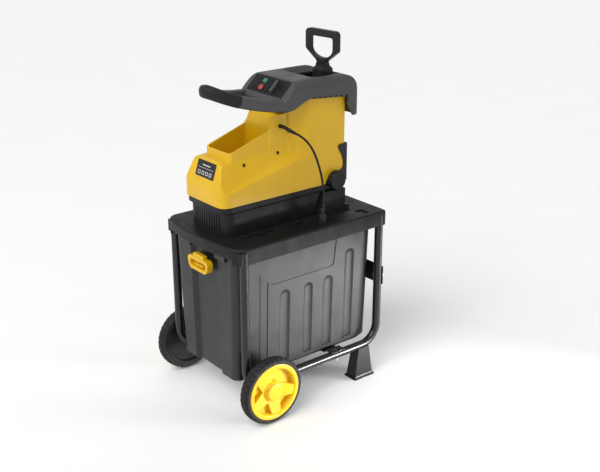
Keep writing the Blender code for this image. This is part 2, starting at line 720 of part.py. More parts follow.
def make_rear_cover():
    """Black cover on the back of the tower, with side flanges and the knob's boss."""
    y0 = HOUSING_REAR + GAP
    x0 = HOUSING_RIGHT + GAP
    x1 = HOUSING_LEFT - GAP
    cover = block("rear_cover", (x1 - 0.002, y0, 0.6172), (x0 + 0.002, y0 + 0.0035, 0.730), BLACK)
    for x, side in ((x0, 1), (x1, -1)):
        outline = [(0.158, 0.640), (y0 + 0.001, 0.6172), (y0 + 0.001, 0.730), (0.170, 0.726), (0.158, 0.716)]
        ring = [(x, y, z) for y, z in outline]
        join(cover, prism("flange", ring, (0, 0, 0), (side * 0.002, 0, 0)))
    boss = rod("knob_boss", (x0, KNOB_Y, KNOB_Z), (x0 + 0.006, KNOB_Y, KNOB_Z), 0.027, sides=32)
    join(cover, boss)
    cut(cover, rod("boss_hole", (0.07, KNOB_Y, KNOB_Z), (0.11, KNOB_Y, KNOB_Z), 0.0085, sides=24))
    return cover


# ---------------------------------------------------------------- pressure plate and knob
def make_adjuster():
    """The knob turns a screw held in a bushing; the plate's threaded hub travels along the screw."""
    knob_start = HOUSING_RIGHT + 0.0070
    knob = rod("adjusting_knob", (knob_start, KNOB_Y, KNOB_Z), (knob_start + 0.014, KNOB_Y, KNOB_Z), 0.029, BLACK,
               sides=48, end_radius=0.0275)
    lobes = 12
    for i in range(lobes):
        angle = 2 * math.pi * i / lobes
        y = KNOB_Y + 0.0318 * math.cos(angle)
        z = KNOB_Z + 0.0318 * math.sin(angle)
        cut(knob, rod("lobe", (knob_start - 0.01, y, z), (knob_start + 0.03, y, z), 0.0045, sides=12))
    cut(knob, rod("knob_bore", (0.08, KNOB_Y, KNOB_Z), (knob_start + 0.009, KNOB_Y, KNOB_Z), 0.0078 + GAP, sides=24))
    screw = rod("adjusting_screw", (0.0460, KNOB_Y, KNOB_Z), (knob_start + 0.008, KNOB_Y, KNOB_Z), 0.0078, STEEL,
                sides=24)
    smooth(screw)
    bushing = rod("screw_bushing", (0.0700, KNOB_Y, KNOB_Z), (0.0795, KNOB_Y, KNOB_Z), 0.0150, STEEL, sides=24)
    cut(bushing, rod("thread", (0.06, KNOB_Y, KNOB_Z), (0.09, KNOB_Y, KNOB_Z), 0.0078 + GAP, sides=24))
    plate = block("pressure_plate", (0.0325, 0.064, 0.580), (0.0400, 0.160, 0.664), ALUMINIUM)
    hub = rod("hub", (0.0390, KNOB_Y, KNOB_Z), (0.0620, KNOB_Y, KNOB_Z), 0.0120, ALUMINIUM, sides=24)
    join(plate, hub)
    cut(plate, rod("hub_thread", (0.0405, KNOB_Y, KNOB_Z), (0.07, KNOB_Y, KNOB_Z), 0.0078 + GAP, sides=24))


# ---------------------------------------------------------------- drive train
def gear_outline(teeth, module, centre, phase):
    """A spur gear outline with straight-flanked teeth and running clearance."""
    pitch_radius = teeth * module / 2
    tip = pitch_radius + 0.75 * module
    root = pitch_radius - 1.10 * module
    step = 2 * math.pi / teeth
    points = []
    for i in range(teeth):
        middle = phase + i * step
        for offset, radius in ((-0.31, root), (-0.12, tip), (0.12, tip), (0.31, root)):
            angle = middle + offset * step
            points.append((centre[0] + radius * math.cos(angle), 0, centre[1] + radius * math.sin(angle)))
    return points


STAGE_ONE_MODULE = 0.001
STAGE_TWO_MODULE = 0.045 * 2 / 70
SMALL_TEETH = 10
LARGE_TEETH = 60


def mesh_phase(driver, driven, driver_teeth, driven_teeth, driver_phase):
    """Phase that puts a gap of the driven gear opposite a tooth of the driver."""
    line = math.atan2(driven[1] - driver[1], driven[0] - driver[0])
    into = (line - driver_phase) * driver_teeth
    return line + math.pi - (math.pi - into) / driven_teeth


def make_drive():
    motor = (MOTOR_X, MOTOR_Z)
    middle = (INTERMEDIATE_X, INTERMEDIATE_Z)
    drum = (DRUM_X, DRUM_Z)
    first_line = math.atan2(middle[1] - motor[1], middle[0] - motor[0])
    second_line = math.atan2(drum[1] - middle[1], drum[0] - middle[0])

    stator = turned("motor_stator", [
        (0.0450, -0.070), (0.0450, -0.185), (0.0290, -0.185), (0.0290, -0.070),
    ], (MOTOR_X, 0, MOTOR_Z + 0.006), (0, 1, 0), COPPER, 28)
    stator.location = (MOTOR_X, 0, MOTOR_Z)

    rotor = turned("motor_rotor", [
        (0.0, -0.0085), (0.0035, -0.0085), (0.0035, -0.062), (0.0260, -0.062), (0.0260, -0.188),
        (0.0045, -0.188), (0.0045, -0.2250), (0.0, -0.2250),
    ], (MOTOR_X, 0, MOTOR_Z), (0, 1, 0), STEEL, 28)
    pinion = prism("pinion", gear_outline(SMALL_TEETH, STAGE_ONE_MODULE, motor, first_line),
                   (0, -0.024, 0), (0, -0.008, 0), STEEL)
    join(rotor, pinion)

    fan = rod("cooling_fan", (MOTOR_X, -0.212, MOTOR_Z), (MOTOR_X, -0.198, MOTOR_Z), 0.012, BLACK, sides=20)
    blades = 9
    for i in range(blades):
        angle = 2 * math.pi * i / blades
        along = Vector((math.cos(angle), 0, math.sin(angle)))
        across = Vector((-math.sin(angle), 0, math.cos(angle)))
        root = Vector((MOTOR_X, 0, MOTOR_Z)) + along * 0.010
        tip = Vector((MOTOR_X, 0, MOTOR_Z)) + along * 0.042
        outline = [root - across * 0.001, tip - across * 0.001, tip + across * 0.001, root + across * 0.001]
        join(fan, prism("blade", outline, (0, -0.211, 0), (0, -0.199, 0)))
    cut(fan, rod("fan_bore", (MOTOR_X, -0.22, MOTOR_Z), (MOTOR_X, -0.19, MOTOR_Z), 0.0045 + GAP, sides=28))

    big_phase = mesh_phase(motor, middle, SMALL_TEETH, LARGE_TEETH, first_line)
    gear = prism("intermediate_gear", gear_outline(LARGE_TEETH, STAGE_ONE_MODULE, middle, big_phase),
                 (0, -0.022, 0), (0, -0.010, 0), STEEL)
    join(gear, prism("small", gear_outline(SMALL_TEETH, STAGE_TWO_MODULE, middle, second_line),
                     (0, -0.011, 0), (0, 0.0085, 0)))
    join(gear, rod("layshaft", (middle[0], -0.030, middle[1]), (middle[0], 0.019, middle[1]), 0.0040, sides=16))

    drum_phase = mesh_phase(middle, drum, SMALL_TEETH, LARGE_TEETH, second_line)
    drum_gear = prism("drum_gear", gear_outline(LARGE_TEETH, STAGE_TWO_MODULE, drum, drum_phase),
                      (0, -0.006, 0), (0, 0.0075, 0), STEEL)
    cut(drum_gear, rod("gear_bore", (DRUM_X, -0.02, DRUM_Z), (DRUM_X, 0.02, DRUM_Z), 0.0080 + GAP, sides=24))

    cutter = prism("cutting_drum", drum_outline(), (0, 0.0640, 0), (0, 0.1580, 0), STEEL)
    join(cutter, rod("drum_shaft", (DRUM_X, -0.0065, DRUM_Z), (DRUM_X, 0.1815, DRUM_Z), 0.0080, sides=24))
    for name, y0 in (("bearing_front", 0.0460), ("bearing_rear", 0.1680)):
        turned(name, [(0.0160, y0 + 0.010), (0.0160, y0), (0.0080 + GAP, y0), (0.0080 + GAP, y0 + 0.010)],
               (DRUM_X, 0, DRUM_Z), (0, 1, 0), STEEL, 24)
    return stator


def drum_outline():
    """Eight cutting teeth round the drum."""
    teeth = 8
    points = []
    for i in range(teeth):
        base = 2 * math.pi * i / teeth
        for turn, radius in ((0.0, DRUM_RADIUS), (0.10, DRUM_RADIUS), (0.28, 0.036), (0.62, 0.035), (0.74, 0.040)):
            angle = base + turn * 2 * math.pi / teeth
            points.append((DRUM_X + radius * math.cos(angle), 0, DRUM_Z + radius * math.sin(angle)))
    return points


def make_gearbox():
    """An open-topped tray that carries the layshaft, the drum bearings and the motor end."""
    case = block("gearbox_housing", (-0.0600, -0.0400, 0.5330), (0.0640, 0.0565, 0.5760), ALUMINIUM)
    cut(case, block("gear_room", (-0.0570, -0.0280, 0.5400), (0.0610, 0.0430, 0.60)))
    for y0, y1 in ((-0.0400, -0.0280), (0.0455, 0.0565)):
        join(case, block("bulkhead", (-0.0600, y0, 0.5700), (0.0640, y1, 0.6480)))
    cut(case, rod("motor_port", (MOTOR_X, -0.05, MOTOR_Z), (MOTOR_X, -0.02, MOTOR_Z), 0.0060, sides=20))
    cut(case, rod("lay_port", (INTERMEDIATE_X, -0.0320, INTERMEDIATE_Z), (INTERMEDIATE_X, -0.02, INTERMEDIATE_Z),
                  0.0040 + GAP, sides=16))
    cut(case, rod("drum_port", (DRUM_X, 0.03, DRUM_Z), (DRUM_X, 0.07, DRUM_Z), 0.0160 + GAP, sides=24))
    return case


def make_capacitor():
    rod("capacitor", (-0.0640, -0.060, 0.560), (-0.0640, -0.140, 0.560), 0.0150, ALUMINIUM, sides=24)


def make_chutes():
    chute = block("discharge_chute", (-0.0640, 0.0580, 0.4980), (0.0480, 0.1640, 0.5720), BLACK)
    join(chute, block("bearing_carrier", (-0.0440, 0.1625, 0.5335), (0.0080, 0.1795, 0.6450)))
    cut(chute, block("chute_way", (-0.0615, 0.0605, 0.47), (0.0455, 0.1615, 0.60)))
    cut(chute, rod("bearing_seat", (DRUM_X, 0.15, DRUM_Z), (DRUM_X, 0.19, DRUM_Z), 0.0160 + GAP, sides=24))
    feed = block("feed_chute", (-CHUTE_HALF_WIDTH, CHUTE_FRONT, 0.6900), (CHUTE_HALF_WIDTH, CHUTE_REAR, 0.9130), BLACK)
    cut(feed, block("feed_way", (-CHUTE_HALF_WIDTH + 0.0025, CHUTE_FRONT + 0.0025, 0.68),
                    (CHUTE_HALF_WIDTH - 0.0025, CHUTE_REAR - 0.0025, 0.93)))
    return feed


# ---------------------------------------------------------------- hood, controls and handle
HOOD_PROFILE = (
    (-0.0440, 0.8560), (-0.0160, 0.8600), (0.0190, 0.8760), (0.0480, 0.8860), (0.1670, 0.8710),
    (0.2000, 0.8120), (0.2190, 0.8120), (0.2220, 0.8710), (0.2130, 0.9080), (0.1980, 0.9270),
    (0.1700, 0.9345), (0.1370, HOOD_TOP), (-0.0030, HOOD_TOP), (-0.0500, 0.8890), (-0.0560, 0.8780),
    (-0.0530, 0.8620),
)
PANEL_TILT = math.atan2(HOOD_TOP - 0.8890, 0.0470)


def hood_section(inset):
    """Cross-section of the hood: open below, broadly rounded along both top edges."""
    half = HOOD_HALF_WIDTH - inset
    top = HOOD_TOP - inset
    radius = 0.026 - inset
    corner = arc(half - radius, top - radius, radius, 0, 90, 3)
    outline = [(half, 0.75)] + corner
    outline += [(-x, z) for x, z in reversed(outline)]
    return [(x, 0, z) for x, z in outline]


def hood_body(name, inset, collection=PARTS):
    body = prism(name, [(0, y, z) for y, z in HOOD_PROFILE], (-0.12, 0, 0), (0.12, 0, 0), HOOD_GREY, collection)
    half = HOOD_HALF_WIDTH - inset
    plan = rounded((-half, -0.060 + inset), (half, 0.2220 - inset), 0.014, 3)
    keep(body, prism("hood_plan", at_height(plan, 0), (0, 0, 0.7), (0, 0, 1.1)))
    keep(body, prism("hood_section", hood_section(inset), (0, -0.2, 0), (0, 0.3, 0)))
    return body


def panel_frame():
    """Matrix of the sloping panel: X across, Y up the slope, Z out of it."""
    centre = Vector((0, -0.0265, (HOOD_TOP + 0.8890) / 2))
    return Matrix.Translation(centre) @ Matrix.Rotation(PANEL_TILT, 4, "X")


ARM_PATH = ((0.0880, -0.020, 0.8720), (0.0865, -0.052, 0.8755), (0.0770, -0.095, 0.8805),
            (0.0620, -0.133, 0.8880), (0.0510, -0.163, 0.8960))
GRIP_PATH = (
    (0.0420, -0.190, 0.9055), (0.0330, -0.212, 0.9145), (0.0200, -0.2290, 0.9225), (0.0000, -0.2360, 0.9260),
)


def bar_rings(points, width, height, steps=10):
    """Rounded-rectangle sections square to a path in space, kept upright."""
    rings = []
    for i, point in enumerate(points):
        before = Vector(points[max(i - 1, 0)])
        after = Vector(points[min(i + 1, len(points) - 1)])
        along = (after - before).normalized()
        across = along.cross(Vector((0, 0, 1))).normalized()
        up = across.cross(along)
        ring = []
        for k in range(steps):
            angle = 2 * math.pi * (k + 0.5) / steps
            c, s = math.cos(angle), math.sin(angle)
            ring.append(
                Vector(point)
                + across * (width / 2 * math.copysign(abs(c) ** 0.7, c))
                + up * (height / 2 * math.copysign(abs(s) ** 0.7, s))
            )
        rings.append(ring)
    return rings


def handle_path():
    """Centre line of the whole handle, from the right arm round the tip to the left arm."""
    right = ARM_PATH + GRIP_PATH
    return list(right) + [mirror_x(point) for point in reversed(right[:-1])]


def make_hood():
    hood = hood_body("hood", 0.0)
    rings = bar_rings(handle_path(), 0.030, 0.034)
    joint = len(ARM_PATH)
    for arm in (rings[:joint], rings[-joint:]):
        join(hood, loft("arm", arm, HOOD_GREY))
    inner_profile = [
        (-0.0470, 0.790), (0.2155, 0.790), (0.2180, 0.8710), (0.2095, 0.9050),
        (0.1920, 0.9210), (0.1680, 0.9170), (0.0560, 0.9170), (0.0520, 0.9320), (0.0029, 0.9320), (-0.0470, 0.8821),
    ]
    hollow = prism("hood_hollow", [(0, y, z) for y, z in inner_profile], (-0.1, 0, 0), (0.1, 0, 0), HOOD_GREY)
    inner_plan = rounded((-0.1, -0.056), (0.1, 0.2185), 0.010, 3)
    keep(hollow, prism("inner_plan", at_height(inner_plan, 0), (0, 0, 0.7), (0, 0, 1.1)))
    keep(hollow, prism("inner_section", hood_section(0.004), (0, -0.2, 0), (0, 0.3, 0)))
    cut(hood, hollow)
    dish = loft("dish", [
        at_height(rounded((-0.064, 0.086), (0.064, 0.183), 0.012, 4), 0.9205),
        at_height(rounded((-0.074, 0.072), (0.074, 0.194), 0.022, 4), HOOD_TOP + 0.002),
    ])
    cut(hood, dish)
    mouth = rounded((-CHUTE_HALF_WIDTH + 0.002, CHUTE_FRONT + 0.002), (CHUTE_HALF_WIDTH - 0.002, CHUTE_REAR - 0.002),
                    0.008, 3)
    cut(hood, prism("mouth", at_height(mouth, 0), (0, 0, 0.90), (0, 0, 0.95)))
    recess_outline = rounded((-0.0815, -0.0275), (0.0815, 0.0285), 0.006, 3)
    recess = prism("panel_recess", at_height(recess_outline, 0), (0, 0, -0.0030), (0, 0, 0.01))
    place(recess, panel_frame())
    cut(hood, recess)
    for x, y, radius in BUTTON_PORTS:
        port = rod("port", (x, y, -0.02), (x, y, 0.01), radius + 0.0008, sides=20)
        place(port, panel_frame())
        cut(hood, port)
    teeth = 6
    for i in range(teeth):
        y = 0.068 + 0.020 * i
        for side in (1, -1):
            inner, outer = side * 0.095, side * 0.110
            top = 0.8865 - 0.0018 * i
            cut(hood, block("vent", (min(inner, outer), y, 0.860), (max(inner, outer), y + 0.012, top)))
    return hood


START_AT = (-0.0260, 0.0130)
STOP_AT = (-0.0260, -0.0100)
SELECTOR_AT = (0.0260, 0.0020)
RESET_AT = (-0.0620, -0.0140)
BUTTON_PORTS = (
    (*START_AT, 0.0080), (*STOP_AT, 0.0095), (*SELECTOR_AT, 0.0060), (*RESET_AT, 0.0040),
)


def make_controls():
    frame = panel_frame()
    panel = prism("control_panel", at_height(rounded((-0.081, -0.027), (0.081, 0.028), 0.0055, 3), 0),
                  (0, 0, -0.0027), (0, 0, -0.0005), BLACK)
    place(panel, frame)
    for x, y, radius in BUTTON_PORTS:
        port = rod("port", (x, y, -0.02), (x, y, 0.01), radius + 0.0006, sides=20)
        place(port, frame)
        cut(panel, port)

    start = rod("start_button", (*START_AT, -0.0090), (*START_AT, 0.0035), 0.0080, GREEN, sides=20)
    stop = rod("stop_button", (*STOP_AT, -0.0090), (*STOP_AT, 0.0048), 0.0095, RED, sides=24)
    reset = rod("reset_button", (*RESET_AT, -0.0090), (*RESET_AT, 0.0022), 0.0040, BLACK, sides=16)
    selector = rod("direction_switch", (*SELECTOR_AT, -0.0090), (*SELECTOR_AT, 0.0020), 0.0060, BLACK, sides=20)
    x, y = SELECTOR_AT
    lever = block("lever", (x - 0.0055, y - 0.0200, 0.0002), (x + 0.0055, y + 0.0200, 0.0075))
    join(selector, lever)
    box = block("switch_box", (-0.0720, -0.0200, -0.0280), (0.0500, 0.0180, -0.0125), DARK_GREY)
    pillars = []
    for x in (-0.0680, 0.0460):
        pillar = rod("pillar", (x, 0, -0.0130), (x, 0, -0.0070 - GAP), 0.0035, DARK_GREY, sides=12)
        join(box, pillar)
        pillars.append(pillar)
    for made in (start, stop, reset, selector, lever, box, *pillars):
        place(made, frame)


def make_grip():
    path = handle_path()
    joint = len(ARM_PATH) - 1
    rings = bar_rings(path, 0.0315, 0.0355)[joint:-joint]
    away = (Vector(path[joint + 1]) - Vector(path[joint - 1])).normalized() * GAP
    rings[0] = [point + away for point in rings[0]]
    rings[-1] = [point + Vector(mirror_x(away)) for point in rings[-1]]
    return smooth(loft("grip", rings, DARK_GREY), 50)


def make_mains_inlet():
    """Appliance inlet in the left wall of the tower: a flange, a body and its socket."""
    x, y0, y1, z0, z1 = INLET
    inlet = block("mains_inlet", (x - 0.0015, y0, z0), (x + 0.0200, y1, z1), BLACK)
    join(inlet, block("flange", (x - GAP - 0.003, y0 - 0.005, z0 - 0.005), (x - GAP, y1 + 0.005, z1 + 0.005)))
    cut(inlet, block("socket", (x - 0.01, y0 + 0.004, z0 + 0.006), (x + 0.0150, y1 - 0.004, z1 - 0.006)))
    return inlet


# ---------------------------------------------------------------- interlock lead
LEAD_POINTS = (
    (0.1130, -0.0215, 0.7975), (0.1200, -0.0120, 0.7910), (0.1270, 0.0020, 0.7780), (0.1330, 0.0160, 0.7590),
    (0.1380, 0.0280, 0.7340), (0.1425, 0.0370, 0.7050), (0.1470, 0.0440, 0.6730), (0.1510, 0.0470, 0.6420),
    (0.1545, 0.0485, 0.6080),
)


def smooth_route(points, per_span=4):
    """Catmull-Rom points through the route's own points."""
    points = [Vector(p) for p in points]
    ends = [points[0] * 2 - points[1]] + points + [points[-1] * 2 - points[-2]]
    route = []
    for i in range(1, len(ends) - 2):
        p0, p1, p2, p3 = ends[i - 1:i + 3]
        for k in range(per_span):
            t = k / per_span
            route.append(0.5 * (
                2 * p1 + (p2 - p0) * t + (2 * p0 - 5 * p1 + 4 * p2 - p3) * t * t
                + (3 * p1 - p0 - 3 * p2 + p3) * t ** 3
            ))
    route.append(points[-1])
    return route


def make_interlock():
    gland = Vector((0.0700, -0.036, 0.811))
    lead_start = Vector(LEAD_POINTS[0])
    run = (Vector(LEAD_POINTS[1]) - lead_start).normalized()
    end = lead_start - run * GAP
    sleeve_path = [gland - Vector((0.006, 0, 0)), gland + Vector((0.012, 0, 0)), end - run * 0.018, end - run * 0.009]
    rings = bar_rings(sleeve_path + [end], 0.011, 0.011, 12)
    sleeve = loft("cable_sleeve", rings, BLACK)
    smooth(sleeve)
    lead = tube("interlock_lead", smooth_route(LEAD_POINTS), 0.0032, BLACK, 2)
    smooth(lead)
    foot = Vector((0.146, 0.048, DECK_TOP - 0.002 + GAP))
    rings = []
    for height, radius, lean in PLUG_RINGS:
        ring = arc(foot.x + lean, foot.y, radius, 0, 337.5, 15)
        rings.append(at_height(ring, foot.z + height))
    smooth(loft("interlock_plug", rings, BLACK), 50)


PLUG_RINGS = (
    (0.0, 0.0120, 0.0), (0.0240, 0.0120, 0.0), (0.0280, 0.0092, 0.0006), (0.0440, 0.0085, 0.0030),
    (0.0480, 0.0062, 0.0038), (0.0790, 0.0045, 0.0085),
)


# ---------------------------------------------------------------- plunger
def make_plunger():
    """Pusher: a D-shaped hand grip whose sides run in to a neck above a square block and a flat stem."""
    half, shoulder, top = 0.0625, 0.9990, 1.0555
    right = [(0.0190, 0.9520), (0.0170, 0.9640), (0.0250, 0.9700), (half, shoulder)]
    right += arc(half - 0.014, top - 0.014, 0.014, 0, 90, 3)
    outer = [(x, 0, z) for x, z in right + [(-x, z) for x, z in reversed(right)]]
    plunger = prism("plunger", outer, (0, -0.0090, 0), (0, 0.0090, 0), BLACK)
    belly = []
    for degrees in range(72, -1, -18):
        angle = math.radians(degrees)
        belly.append((0.0460 * math.cos(angle), 1.0030 - 0.0270 * math.sin(angle)))
    right = belly + [(0.0460, 1.0300), (0.0400, 1.0355)]
    window = [(0, 0, 0.9760)] + [(x, 0, z) for x, z in right + [(-x, z) for x, z in reversed(right)]]
    grip_hole = prism("window", window, (0, -0.02, 0), (0, 0.02, 0))
    cut(plunger, grip_hole)
    slim = rounded((-0.0230, -0.0190), (0.0230, 0.0190), 0.003, 2)
    thick = rounded((-0.0215, -0.0215), (0.0215, 0.0215), 0.003, 2)
    neck = rounded((-0.0165, -0.0135), (0.0165, 0.0135), 0.003, 2)
    stem = loft("stem", [
        at_height(slim, 0.7300), at_height(slim, 0.8500), at_height(thick, 0.8600), at_height(thick, 0.9460),
        at_height(neck, 0.9520), at_height(neck, 0.9560),
    ], BLACK)
    join(plunger, stem)
    turn = Matrix.Translation((PLUNGER_X, PLUNGER_Y, 0)) @ Matrix.Rotation(PLUNGER_YAW, 4, "Z")
    for made in (plunger, stem, grip_hole):
        place(made, turn)
    return plunger


# ---------------------------------------------------------------- assembly
def main():
    make_deck()
    make_side_frame("side_frame_right", 1)
    make_side_frame("side_frame_left", -1)
    make_rear_brace()
    make_bottom_brace()
    make_foot("foot_right", 1)
    make_foot("foot_left", -1)
    make_axle()
    make_wheel("right", 1)
    make_wheel("left", -1)
    make_box()
    make_lock()
    make_lower_housing()
    make_upper_housing()
    make_housing_screws()
    make_label_plate()
    make_rear_cover()
    make_adjuster()
    make_gearbox()
    make_drive()
    make_capacitor()
    make_chutes()
    make_hood()
    make_controls()
    make_grip()
    make_mains_inlet()
    make_interlock()
    make_plunger()
    for made in bpy.data.objects:
        made.location.y += FOOTPRINT_SHIFT


main()
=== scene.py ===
"""The garden shredder's looks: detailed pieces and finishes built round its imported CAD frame.

Shapes are laid out about the middle of the deck, as in the part's own source, and carried into the
frame by SHIFT.  Front is -Y, the end with the wheels and the handle; +X is the side with the knob.
"""
import json
import math

import bmesh
import bpy
from mathutils import Matrix, Vector


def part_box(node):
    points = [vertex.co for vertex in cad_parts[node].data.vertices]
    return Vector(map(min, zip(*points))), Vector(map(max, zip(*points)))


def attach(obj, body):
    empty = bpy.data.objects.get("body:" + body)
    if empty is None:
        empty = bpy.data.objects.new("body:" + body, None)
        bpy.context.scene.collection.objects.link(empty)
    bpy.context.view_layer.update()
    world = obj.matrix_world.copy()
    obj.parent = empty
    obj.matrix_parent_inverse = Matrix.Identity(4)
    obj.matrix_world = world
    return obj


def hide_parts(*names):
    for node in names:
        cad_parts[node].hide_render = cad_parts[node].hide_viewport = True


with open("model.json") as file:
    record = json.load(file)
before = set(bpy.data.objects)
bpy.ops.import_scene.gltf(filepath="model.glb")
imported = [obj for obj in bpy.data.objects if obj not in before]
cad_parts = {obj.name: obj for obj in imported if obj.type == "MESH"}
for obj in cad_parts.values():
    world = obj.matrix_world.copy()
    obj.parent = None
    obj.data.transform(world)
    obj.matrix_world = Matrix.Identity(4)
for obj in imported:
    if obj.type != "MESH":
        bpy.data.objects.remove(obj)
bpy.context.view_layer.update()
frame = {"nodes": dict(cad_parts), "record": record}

# ---------------------------------------------------------------- dimensions, in metres
DECK_HALF_WIDTH = 0.184
DECK_FRONT = -0.2695
DECK_REAR = 0.2695
DECK_BOW = 0.020
DECK_TOP = 0.529
DECK_RIM = 0.483
DECK_FASCIA = 0.497
DECK_PLATE = 0.010
DECK_WALL = 0.005
SHIFT = Vector((0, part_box("deck")[1].y - DECK_REAR, 0))

TUBE_RADIUS = 0.0125
UPRIGHT_X = 0.1725
UPRIGHT_REAR = 0.2498
UPRIGHT_FRONT = -0.2486
RAIL_Z = 0.1026
BEND_RADIUS = 0.060
TUBE_TOP = 0.5185

WHEEL_RADIUS = 0.100
AXLE_Y = -0.1955
AXLE_RADIUS = 0.0063
TYRE_INNER_X = 0.1990
TYRE_OUTER_X = 0.2350
RIM_RADIUS = 0.0850
CORE_INNER_X = 0.1975
CORE_OUTER_X = 0.2140
COVER_OUTER_X = 0.2366
SPOKES = 5
LUGS = 36

BOX_TOP = 0.4945
BOX_BOTTOM = 0.110
BOX_WALL = 0.003

HOUSING_RIGHT = 0.0865
HOUSING_LEFT = -0.1000
HOUSING_FRONT = -0.2545
HOUSING_REAR = 0.188
FRONT_SKEW = 0.035
SEAM_Z = 0.6165
WALL = 0.003

KNOB_Y = 0.146
KNOB_Z = 0.626
HOOD_HALF_WIDTH = 0.104
HOOD_TOP = 0.936
CHUTE_HALF_WIDTH = 0.060
CHUTE_FRONT = 0.090
CHUTE_REAR = 0.179
PLUNGER_X = 0.0265
PLUNGER_Y = 0.148
PLUNGER_YAW = math.radians(5)


# ---------------------------------------------------------------- camera, lights and floor
def make_camera():
    """The photograph's viewing angle: from the front right, a little above the hood."""
    target = Vector((0.1060, 0, 0.4872)) + SHIFT
    azimuth, elevation, distance = math.radians(51.0), math.radians(20.96), 2.894
    back = Vector((
        math.sin(azimuth) * math.cos(elevation), -math.cos(azimuth) * math.cos(elevation),
        math.sin(elevation),
    ))
    data = bpy.data.cameras.new("camera")
    data.lens = 60
    data.sensor_width = 36
    data.sensor_fit = "HORIZONTAL"
    data.clip_start = 0.02
    made = bpy.data.objects.new("camera", data)
    bpy.context.scene.collection.objects.link(made)
    made.location = target + back * distance
    made.rotation_euler = (-back).to_track_quat("-Z", "Y").to_euler()
    bpy.context.scene.camera = made


def make_lamp(name, place, aim, size, power, colour=(1, 1, 1)):
    data = bpy.data.lights.new(name, "AREA")
    data.shape = "RECTANGLE"
    data.size, data.size_y = size
    data.energy = power
    data.color = colour
    made = bpy.data.objects.new(name, data)
    bpy.context.scene.collection.objects.link(made)
    made.location = place
    made.rotation_euler = (Vector(aim) - Vector(place)).to_track_quat("-Z", "Y").to_euler()
    return made


def make_studio():
    world = bpy.data.worlds.new("studio")
    bpy.context.scene.world = world
    world.use_nodes = True
    world.node_tree.nodes["Background"].inputs["Color"].default_value = (1.0, 1.0, 1.0, 1.0)
    world.node_tree.nodes["Background"].inputs["Strength"].default_value = 0.62
    middle = (0, 0, 0.6)
    make_lamp("key_light", (-0.9, -2.8, 2.9), middle, (1.6, 1.6), 16)
    glow = make_lamp("low_softbox", (1.05, 0.80, 0.12), (0.15, 0, 0.14), (0.7, 0.16), 2.6)
    glow.data.spread = math.radians(38)
    data = bpy.data.lights.new("sky_light", "SUN")
    data.energy = 1.75
    data.angle = math.radians(38)
    sky = bpy.data.objects.new("sky_light", data)
    bpy.context.scene.collection.objects.link(sky)
    sky.rotation_euler = (Vector((0.22, -0.66, 0.72))).to_track_quat("Z", "Y").to_euler()
    bpy.context.scene.view_settings.view_transform = "Standard"
    work = bmesh.new()
    bmesh.ops.create_grid(work, x_segments=24, y_segments=24, size=30)
    floor = bpy.data.objects.new("floor", bpy.data.meshes.new("floor"))
    work.to_mesh(floor.data)
    work.free()
    floor.location.z = -0.0005
    bpy.context.scene.collection.objects.link(floor)
    floor.data.materials.append(floor_finish())


# ---------------------------------------------------------------- finishes
def new_finish(name, **sockets):
    made = bpy.data.materials.new(name)
    made.use_nodes = True
    shader = made.node_tree.nodes["Principled BSDF"]
    for socket, value in sockets.items():
        shader.inputs[socket.replace("_", " ")].default_value = value
    return made, made.node_tree, shader


def noise(tree, scale, detail=3.0, stretch=(1, 1, 1)):
    """A noise value in the piece's own space, so that it stays with the piece when it moves."""
    place = tree.nodes.new("ShaderNodeTexCoord")
    mapping = tree.nodes.new("ShaderNodeMapping")
    mapping.inputs["Scale"].default_value = stretch
    pattern = tree.nodes.new("ShaderNodeTexNoise")
    pattern.inputs["Scale"].default_value = scale
    pattern.inputs["Detail"].default_value = detail
    tree.links.new(place.outputs["Object"], mapping.inputs["Vector"])
    tree.links.new(mapping.outputs["Vector"], pattern.inputs["Vector"])
    return pattern.outputs["Fac"]


def spread(tree, value, low, high, from_low=0.3, from_high=0.7):
    """Maps a noise value to a range."""
    step = tree.nodes.new("ShaderNodeMapRange")
    for socket, number in (("From Min", from_low), ("From Max", from_high), ("To Min", low),
                           ("To Max", high)):
        step.inputs[socket].default_value = number
    tree.links.new(value, step.inputs["Value"])
    return step.outputs["Result"]


def mix(tree, factor, first, second):
    """Blends two colours; each is a colour or a socket."""
    step = tree.nodes.new("ShaderNodeMix")
    step.data_type = "RGBA"
    tree.links.new(factor, step.inputs["Factor"])
    for socket, value in ((step.inputs[6], first), (step.inputs[7], second)):
        if isinstance(value, tuple):
            socket.default_value = (*value, 1.0)
        else:
            tree.links.new(value, socket)
    return step.outputs[2]


def total(tree, first, second):
    step = tree.nodes.new("ShaderNodeMath")
    step.operation = "ADD"
    step.use_clamp = True
    tree.links.new(first, step.inputs[0])
    tree.links.new(second, step.inputs[1])
    return step.outputs["Value"]


def bump(tree, height, distance, under=None):
    step = tree.nodes.new("ShaderNodeBump")
    step.inputs["Distance"].default_value = distance
    step.inputs["Strength"].default_value = 1.0
    tree.links.new(height, step.inputs["Height"])
    if under is not None:
        tree.links.new(under, step.inputs["Normal"])
    return step.outputs["Normal"]


def tinted(colour, amount):
    return tuple(min(1.0, channel * amount) for channel in colour)


def edges(tree, low=0.505, high=0.56):
    """High along worn outside edges."""
    geometry = tree.nodes.new("ShaderNodeNewGeometry")
    return spread(tree, geometry.outputs["Pointiness"], 0.0, 1.0, low, high)


